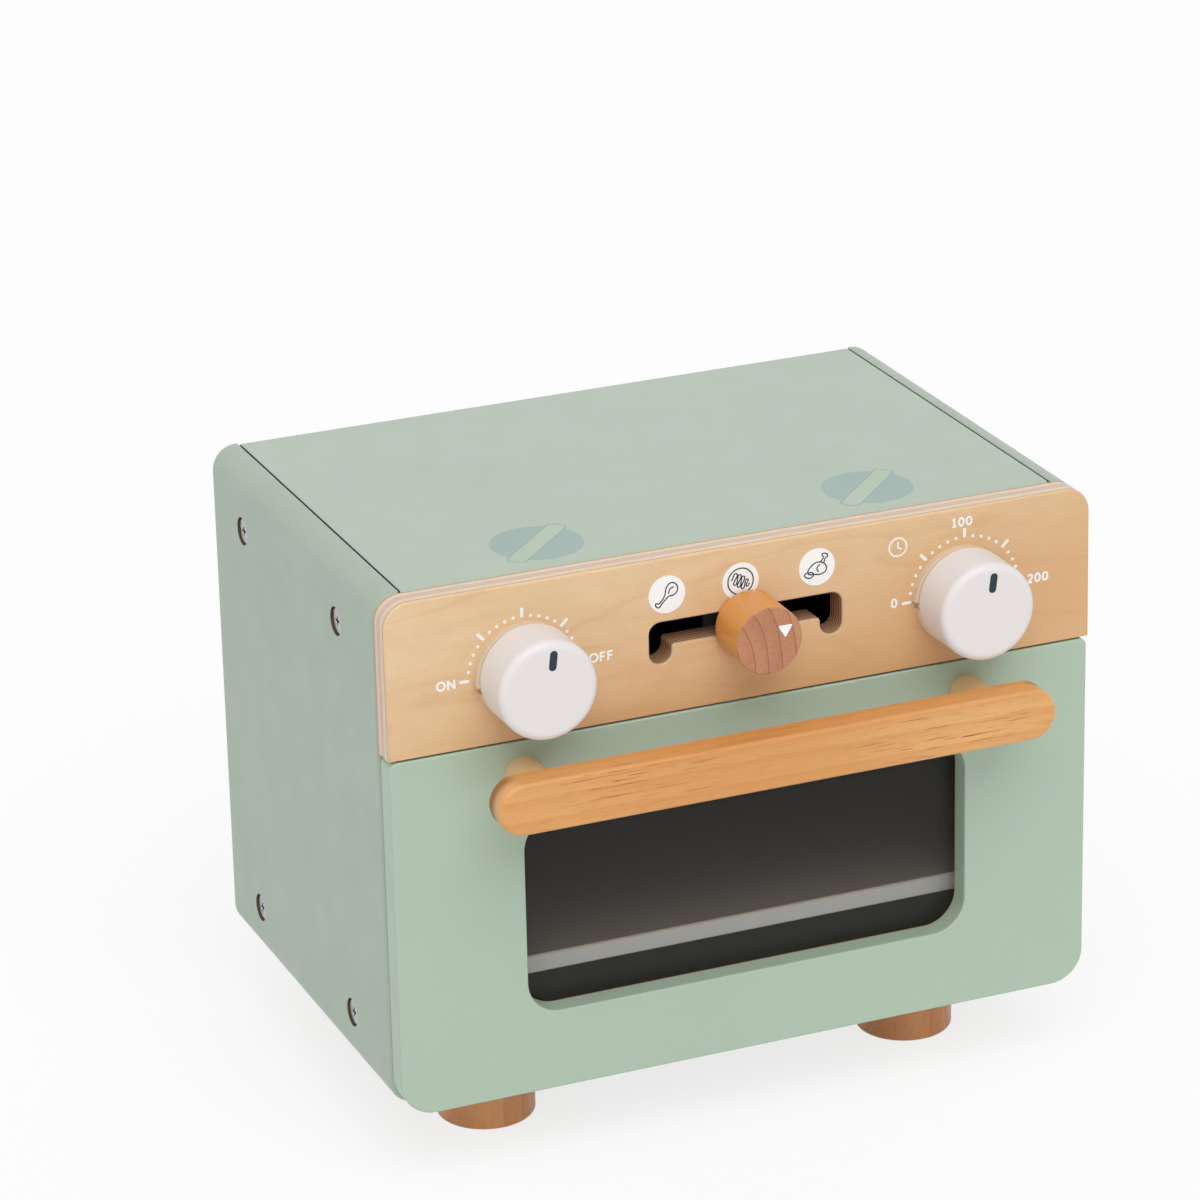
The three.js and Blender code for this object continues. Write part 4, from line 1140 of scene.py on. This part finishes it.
class TOYOVEN_OT_fascia(OvenOperator):
    """Plywood control panel with its notched slot"""

    bl_idname = "toy_oven.fascia"
    bl_label = "Control panel"

    def execute(self, context):
        s, made = self.sizes, finishes()
        low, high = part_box("fascia")
        panel = board("control_panel", "fascia", 0, 0, s.corner, s.corner, steps=12)
        through = (low.y - OVERRUN, high.y + OVERRUN)
        combine(panel, plate("slot", self.slot_outline(low.z + s.slot_rise, s), "y", *through, 8))
        for side, _ in SIDES:
            combine(panel, rod("hole", s.spindle_hole, *through, "y", centre_of(f"knob_ring_{side}"), 40))
        foot = low.z + 0.0001
        for level in (low.y, high.y):
            soften(panel, "y", level, s.edge / 2, 2, lambda point: point.z < foot)
            soften(panel, "y", level, s.edge, 4, lambda point: point.z > foot)
        clad(
            panel, "control_panel", "casing", "plywood", "fascia", made["plywood"],
            (made["layers"], lambda f: abs(f.normal.y) < 0.5),
            (made["cut"], lambda f: abs(f.normal.y) < FACING and self.inner(f, low, high)),
        )
        return {"FINISHED"}

    @staticmethod
    def slot_outline(run, s):
        """Corners of the slot: a run with a notch below it at each station."""
        deep, top = run - s.notch_deep, run + s.slot_tall
        corners = []
        for station in STATIONS:
            left, right = station - s.notch, station + s.notch
            if station != STATIONS[0]:
                corners.append((left, run, s.tooth))
            corners += [(left, deep, s.notch), (right, deep, s.notch)]
            if station != STATIONS[-1]:
                corners.append((right, run, s.tooth))
        return corners + [(s.slot_half, top, s.notch), (-s.slot_half, top, s.notch)]

    @staticmethod
    def inner(face, low, high):
        """Whether a face is on the wall of the slot or of a spindle hole."""
        spot = face.calc_center_median()
        margin = 0.0105
        return low.x + margin < spot.x < high.x - margin and low.z + margin < spot.z < high.z - margin


class TOYOVEN_OT_dials(OvenOperator):
    """Click rings and knobs with their pointers"""

    bl_idname = "toy_oven.dials"
    bl_label = "Dials"

    def execute(self, context):
        s, made = self.sizes, finishes()
        low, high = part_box("knob_ring_left")
        front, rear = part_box("knob_left")
        start = (front + rear) / 2
        ring_rim, rear_rim = 0.0004, 0.0003
        outline = self.ring_outline((high.x - low.x) / 2 - s.ring_play, s)
        corners = [(start.x + x - s.ring_play, start.z + z - s.ring_play, 0) for x, z in outline]
        ring = plate("ring", corners, "y", low.y, high.y)
        soften(ring, "y", low.y, ring_rim, 3)
        knob = rod("knob", (rear.x - front.x) / 2, front.y, rear.y, "y", start, 128)
        soften(knob, "y", front.y, s.knob_edge, 8)
        soften(knob, "y", rear.y, rear_rim, 2)
        half, foot = s.pointer_wide / 2, start.z + s.pointer_rise
        outline = rectangle(start.x - half, foot, start.x + half, foot + s.pointer_long, half)
        mark = plate("pointer", outline, "y", front.y - s.print_thick, front.y + s.print_thick, 8)
        lean = math.radians(7)
        for side, turn in (("left", 0), ("right", 9)):
            body = f"{side}_dial"
            shift = centre_of(f"knob_{side}") - start
            click = twin(ring, f"click_ring_{side}", shift, math.radians(turn), "Y", start)
            dress(click, "casing", made["ring"], [f"knob_ring_{side}"])
            dial = twin(knob, f"dial_knob_{side}", shift)
            dress(dial, body, made["knob"], [f"knob_{side}"], 60)
            pointer = twin(mark, f"dial_pointer_{side}", shift, lean, "Y", start)
            dress(pointer, body, made["navy"])
            recoat(made["steel"], f"knob_washer_{side}", f"knob_spindle_{side}")
        drop(ring, knob, mark)
        return {"FINISHED"}

    @staticmethod
    def ring_outline(radius, s):
        """Outline of a click ring about its middle: a larger upper and a smaller lower arc, with a notch between."""
        smaller = radius - s.ring_step
        notch, foot = radius - 0.0024, -s.ring_drop - s.ring_notch
        first = math.asin(-s.ring_drop / radius)
        last = math.asin(foot / smaller)
        upper = [first + (math.pi - 2 * first) * step / 80 for step in range(81)]
        lower = [math.pi - last + (math.pi + 2 * last) * step / 64 for step in range(65)]
        return (
            [(radius * math.cos(a), radius * math.sin(a)) for a in upper]
            + [(-notch, -s.ring_drop), (-notch, foot)]
            + [(smaller * math.cos(a), smaller * math.sin(a)) for a in lower]
            + [(notch, foot), (notch, -s.ring_drop)]
        )


class TOYOVEN_OT_dial_prints(OvenOperator):
    """Ticks, dots, figures and the clock sign round the dials"""

    bl_idname = "toy_oven.dial_prints"
    bl_label = "Dial prints"

    def execute(self, context):
        s, made = self.sizes, finishes()
        face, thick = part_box("fascia")[0].y, s.print_thick
        half, dot_radius, dot_inset = s.tick_wide / 2, 0.00064, 0.0014
        # Each dial: the middle and radius of its scale, and each word with its middle
        for side, across, up, reach, words in (
            ("left", -0.0876, 0.1977, 0.0227, (("ON", -0.1174, 0.1975), ("OFF", -0.0574, 0.1981))),
            ("right", 0.0882, 0.1979, 0.0237, (
                ("0", 0.0595, 0.1986), ("100", 0.0872, 0.2261), ("200", 0.1187, 0.1989),
            )),
        ):
            end = across + reach
            outline = rectangle(end - s.tick_long / 2, up - half, end + s.tick_long / 2, up + half, half * 0.9)
            tick = plate("tick", outline, "y", face - thick, face + thick, 6)
            dot = flat_disc("dot", dot_radius, end - dot_inset, up, face, thick, 20)
            centre = (across, face, up)
            parts = [
                twin(dot if step % 5 else tick, "mark", (0, 0, 0), math.radians(9 * step - 180), "Y", centre)
                for step in range(21)
            ]
            drop(tick, dot)
            for text, place, level in words:
                parts += letters(text, place, level, face, s.letter_tall, thick)
            if side == "right":
                parts += self.clock(0.06105, 0.2204, face, thick)
            dress(join(f"dial_print_{side}", parts), "casing", made["white"])
        return {"FINISHED"}

    @staticmethod
    def clock(middle, level, face, thick):
        """A round clock face with two hands."""
        radius, width = 0.0035, 0.0006
        hands = [(middle, level + 0.0021), (middle, level - 0.0002), (middle + 0.0014, level - 0.0009)]
        return [
            line(round_points(middle, level, radius, radius), width, face, thick, "loop"),
            line(hands, width, face, thick, "straight"),
        ]


# Line drawings on the badges, in millimetres from the disc's middle
BADGES = {
    "leg": (
        ("curve", [(-1.5, -1.6), (-0.7, 0.2), (-0.2, 2.5), (1.6, 4.2), (3.6, 3.4), (4.2, 1.3), (2.9, -0.5),
                   (0.7, -0.9), (-0.8, -2.2)]),
        ("curve", [(-1.5, -1.6), (-3.2, -3.1), (-4.4, -3.0), (-4.2, -4.2), (-3.1, -4.6), (-2.4, -3.7), (-0.8, -2.2)]),
        ("curve", [(0.6, 0.1), (1.3, 1.9), (2.8, 2.6)]),
    ),
    "coil": (
        ("loop", round_points(0, 0, 5, 5)),
        ("curve", [(-3.6, 0.6), (-1.6, 3.2), (-2.4, -1.2), (-0.1, 2.6), (-0.9, -2.2), (1.3, 1.8), (0.6, -3.0),
                   (2.8, 0.4), (2.4, -2.3), (3.6, -1.2)]),
    ),
    "roast": (
        ("loop", [(-3.6, -2.0), (-2.2, 0.6), (0.4, 1.8), (1.9, 1.4), (3.5, 0.2), (3.6, -1.9), (1.6, -3.0),
                  (-1.0, -2.8)]),
        ("curve", [(1.4, 1.6), (2.6, 3.4), (2.1, 4.5), (3.6, 4.6), (4.3, 3.6), (3.4, 2.9), (2.7, 0.9)]),
        ("curve", [(1.2, 0.9), (0.0, -0.6), (0.6, -2.0)]),
        ("loop", [(-5.0, -2.6), (-3.4, -1.8), (-1.4, -2.6), (-2.2, -3.8), (-4.0, -3.7)]),
    ),
}


class TOYOVEN_OT_badges(OvenOperator):
    """White discs above the slot's stations: a drumstick, a pan with a heating line and a roast bird"""

    bl_idname = "toy_oven.badges"
    bl_label = "Badges"

    def execute(self, context):
        s, made = self.sizes, finishes()
        face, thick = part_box("fascia")[0].y, s.print_thick
        stroke = 0.00052
        for name, middle, up in (("leg", -0.0313, 0.2177), ("coil", -0.0022, 0.21785), ("roast", 0.0283, 0.2183)):
            disc = flat_disc(f"badge_{name}", s.badge, middle, up, face, thick, 64)
            dress(disc, "casing", made["white"])
            lines = []
            for kind, points in BADGES[name]:
                placed = [(middle + x / 1000, up + z / 1000) for x, z in points]
                lines.append(line(placed, stroke, face - thick, thick / 2, kind))
            dress(join(f"badge_drawing_{name}", lines), "casing", made["navy"])
        return {"FINISHED"}


class TOYOVEN_OT_selector(OvenOperator):
    """Turned selector with its mark, stem and slide plate"""

    bl_idname = "toy_oven.selector"
    bl_label = "Selector"

    def execute(self, context):
        s, made = self.sizes, finishes()
        low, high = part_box("selector_knob")
        centre = (low + high) / 2
        front_rim, rear_rim = 0.0006, 0.001
        knob = rod("selector_turning", (high.x - low.x) / 2, low.y, high.y, "y", centre, 96)
        soften(knob, "y", low.y, front_rim, 4)
        soften(knob, "y", high.y, rear_rim, 3)
        clad(
            knob, "selector_turning", "selector", "selector_wood", "selector_knob", made["selector"],
            (made["selector_end"], lambda f: abs(f.normal.y) > 0.35), angle=60,
        )
        x, z = centre.x + 0.0062, centre.z + 0.0033
        half, top, rounding = 0.0029, 0.0019, 0.0007
        corners = [(x, z - half, rounding), (x + half, z + top, rounding), (x - half, z + top, rounding)]
        mark = plate("selector_mark", corners, "y", low.y - s.print_thick, low.y + s.print_thick, 5)
        dress(mark, "selector", made["white"])
        recoat(made["plate"], "selector_plate")
        recoat(made["steel"], "selector_stem")
        return {"FINISHED"}


class TOYOVEN_OT_door(OvenOperator):
    """Door with its window, pane and pane screws"""

    bl_idname = "toy_oven.door"
    bl_label = "Door"

    def execute(self, context):
        s, made = self.sizes, finishes()
        low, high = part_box("door_panel")
        sheet_low, sheet_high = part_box("door_pane")
        sheet_corner, sheet_rim, raw_strip = 0.006, 0.0003, 0.0004
        beyond = high.y + OVERRUN

        panel = board("door_board", "door_panel", s.door_low, s.door_low, s.door_high, s.door_high, steps=14)
        left, right = low.x + s.window_side, high.x - s.window_side
        outline = rectangle(left, low.z + s.window_low, right, high.z - s.window_high, s.window_corner)
        combine(panel, plate("window", outline, "y", low.y - OVERRUN, beyond, 14))
        for level in (low.y, high.y):
            soften(panel, "y", level, s.door_edge, 5)
        take(panel)
        bpy.ops.object.mode_set(mode="EDIT")
        bpy.ops.mesh.select_all(action="SELECT")
        bpy.ops.mesh.bisect(plane_co=(0, sheet_low.y - raw_strip, 0), plane_no=(0, 1, 0))
        bpy.ops.object.mode_set(mode="OBJECT")
        grow = 0.0002
        outline = rectangle(
            sheet_low.x - grow, sheet_low.z - grow, sheet_high.x + grow, sheet_high.z + grow, sheet_corner
        )
        combine(panel, plate("pane_rebate", outline, "y", sheet_low.y, beyond, 8))
        spare = Vector((0.0001, 0, 0.0002))
        disc_hole, screw_hole, screw_deep = 0.00395, 0.00425, 0.003
        for side, _ in SIDES:
            leaf_low, leaf_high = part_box(f"hinge_door_leaf_{side}")
            leaf_low.z, leaf_high.y = low.z - OVERRUN, beyond
            combine(panel, block("mortise", leaf_low - spare, leaf_high + spare))
            disc = f"strike_disc_{side}"
            combine(panel, rod("hole", disc_hole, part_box(disc)[0].y, beyond, "y", centre_of(disc), 32))
            screw = centre_of(f"handle_screw_{side}")
            combine(panel, rod("hole", screw_hole, high.y - screw_deep, beyond, "y", screw, 32))
        bare = (made["cut"], lambda f: self.raw(f, low, high, sheet_low.y, s))
        clad(panel, "door_board", "door", "green_paint", "door_panel", made["green"], bare)

        pane = board("clear_sheet", "door_pane", sheet_corner, steps=8)
        soften(pane, "y", sheet_high.y, sheet_rim, 2)
        dress(pane, "door", made["pane"], ["door_pane"])

        inset, spread = 0.0036, 0.0935
        lower, upper = sheet_low.z + inset, sheet_high.z - inset
        spots = [
            (f"{place}_{spot}", (across, 0, above))
            for place, above in (("low", 0.0), ("high", upper - lower))
            for spot, across in (("left", -spread), ("middle", 0.0), ("right", spread))
        ]
        slot = (0.0013, 0.0003, 0.0003)
        screw_heads("pane_screw", "door", sheet_high.y, (0, 0, lower), spots, 24, 0.0022, 0.0002, 0.0004, slot)
        for side, _ in SIDES:
            recoat(made["steel"], f"strike_disc_{side}", f"handle_screw_{side}")
        return {"FINISHED"}

    @staticmethod
    def raw(face, low, high, pane, s):
        """Whether a face is on the unpainted strip of the window's wall, in front of the pane."""
        spot = face.calc_center_median()
        beside = low.x + s.window_side - NEAR < spot.x < high.x - s.window_side + NEAR
        between = low.z + s.window_low - NEAR < spot.z < high.z - s.window_high + NEAR
        return beside and between and pane - 0.0005 < spot.y < pane + NEAR and abs(face.normal.y) < 0.5


class TOYOVEN_OT_handle(OvenOperator):
    """Round-ended handle bar and its posts"""

    bl_idname = "toy_oven.handle"
    bl_label = "Handle"

    def execute(self, context):
        s, made = self.sizes, finishes()
        low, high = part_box("handle_bar")
        end = (high.z - low.z) / 2
        bar = board("grip_bar", "handle_bar", end, steps=20)
        for level in (low.y, high.y):
            soften(bar, "y", level, s.bar_edge, 6)
        round_start = high.x - end
        clad(
            bar, "grip_bar", "door", "handle_wood", "handle_bar", made["handle"],
            (made["handle_end"], lambda f: abs(f.normal.y) < 0.5 and abs(f.calc_center_median().x) > round_start),
            angle=40,
        )
        low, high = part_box("handle_post_left")
        start = (low + high) / 2
        post = rod("post", (high.x - low.x) / 2, low.y, high.y, "y", start, 64)
        rear_rim = 0.0003
        soften(post, "y", high.y, rear_rim, 2)
        for side, _ in SIDES:
            node = f"handle_post_{side}"
            turned = twin(post, f"turned_post_{side}", centre_of(node) - start)
            dress(turned, "door", made["post"], [node])
        drop(post)
        return {"FINISHED"}


class TOYOVEN_OT_hinges(OvenOperator):
    """Butt hinges, magnets and the screws of the back board"""

    bl_idname = "toy_oven.hinges"
    bl_label = "Hinges, catches and back screws"

    def execute(self, context):
        made = finishes()
        for side, _ in SIDES:
            recoat(made["steel"], *(f"{part}_{side}" for part in (
                "hinge_door_leaf", "hinge_body_leaf", "hinge_pin", "magnet"
            )))
        low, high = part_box("back_panel")
        middle = (low + high) / 2
        inset = 0.008
        spots = [
            (f"{place}_{spot}", (across - middle.x, 0, up - middle.z))
            for spot, across in (("left", low.x + inset), ("middle", middle.x), ("right", high.x - inset))
            for place, up in (("low", low.z + inset), ("high", high.z - inset))
        ]
        slot = (0.0018, 0.0004, 0.0004)
        screw_heads("back_screw", "casing", high.y, middle, spots, 28, 0.003, 0.0004, 0.0003, slot)
        return {"FINISHED"}


STEPS = (
    TOYOVEN_OT_stage,
    TOYOVEN_OT_carcass,
    TOYOVEN_OT_inside,
    TOYOVEN_OT_side_screws,
    TOYOVEN_OT_feet,
    TOYOVEN_OT_fascia,
    TOYOVEN_OT_dials,
    TOYOVEN_OT_dial_prints,
    TOYOVEN_OT_badges,
    TOYOVEN_OT_selector,
    TOYOVEN_OT_door,
    TOYOVEN_OT_handle,
    TOYOVEN_OT_hinges,
)


class TOYOVEN_PT_panel(bpy.types.Panel):
    """Steps, sizes and colours of the toy oven"""

    bl_idname = "TOYOVEN_PT_panel"
    bl_label = "Toy oven"
    bl_space_type = "VIEW_3D"
    bl_region_type = "UI"
    bl_category = "Toy oven"

    def draw(self, context):
        for step in STEPS:
            self.layout.operator(step.bl_idname)
        for group in (context.scene.toy_oven_sizes, context.scene.toy_oven_colours, context.scene.toy_oven_stage):
            box = self.layout.box()
            for name in group.__annotations__:
                box.prop(group, name)


CLASSES = (OvenSizes, OvenColours, OvenStage, *STEPS, TOYOVEN_PT_panel)


def register():
    """Registers the classes and the settings."""
    for each in CLASSES:
        bpy.utils.register_class(each)
    bpy.types.Scene.toy_oven_sizes = PointerProperty(type=OvenSizes)
    bpy.types.Scene.toy_oven_colours = PointerProperty(type=OvenColours)
    bpy.types.Scene.toy_oven_stage = PointerProperty(type=OvenStage)


def unregister():
    """Takes the settings and classes away again."""
    del bpy.types.Scene.toy_oven_stage
    del bpy.types.Scene.toy_oven_colours
    del bpy.types.Scene.toy_oven_sizes
    for each in reversed(CLASSES):
        bpy.utils.unregister_class(each)


def main():
    """Builds every group of pieces."""
    register()
    for step in STEPS:
        group, name = step.bl_idname.split(".")
        getattr(getattr(bpy.ops, group), name)()


if __name__ == "__main__":
    main()
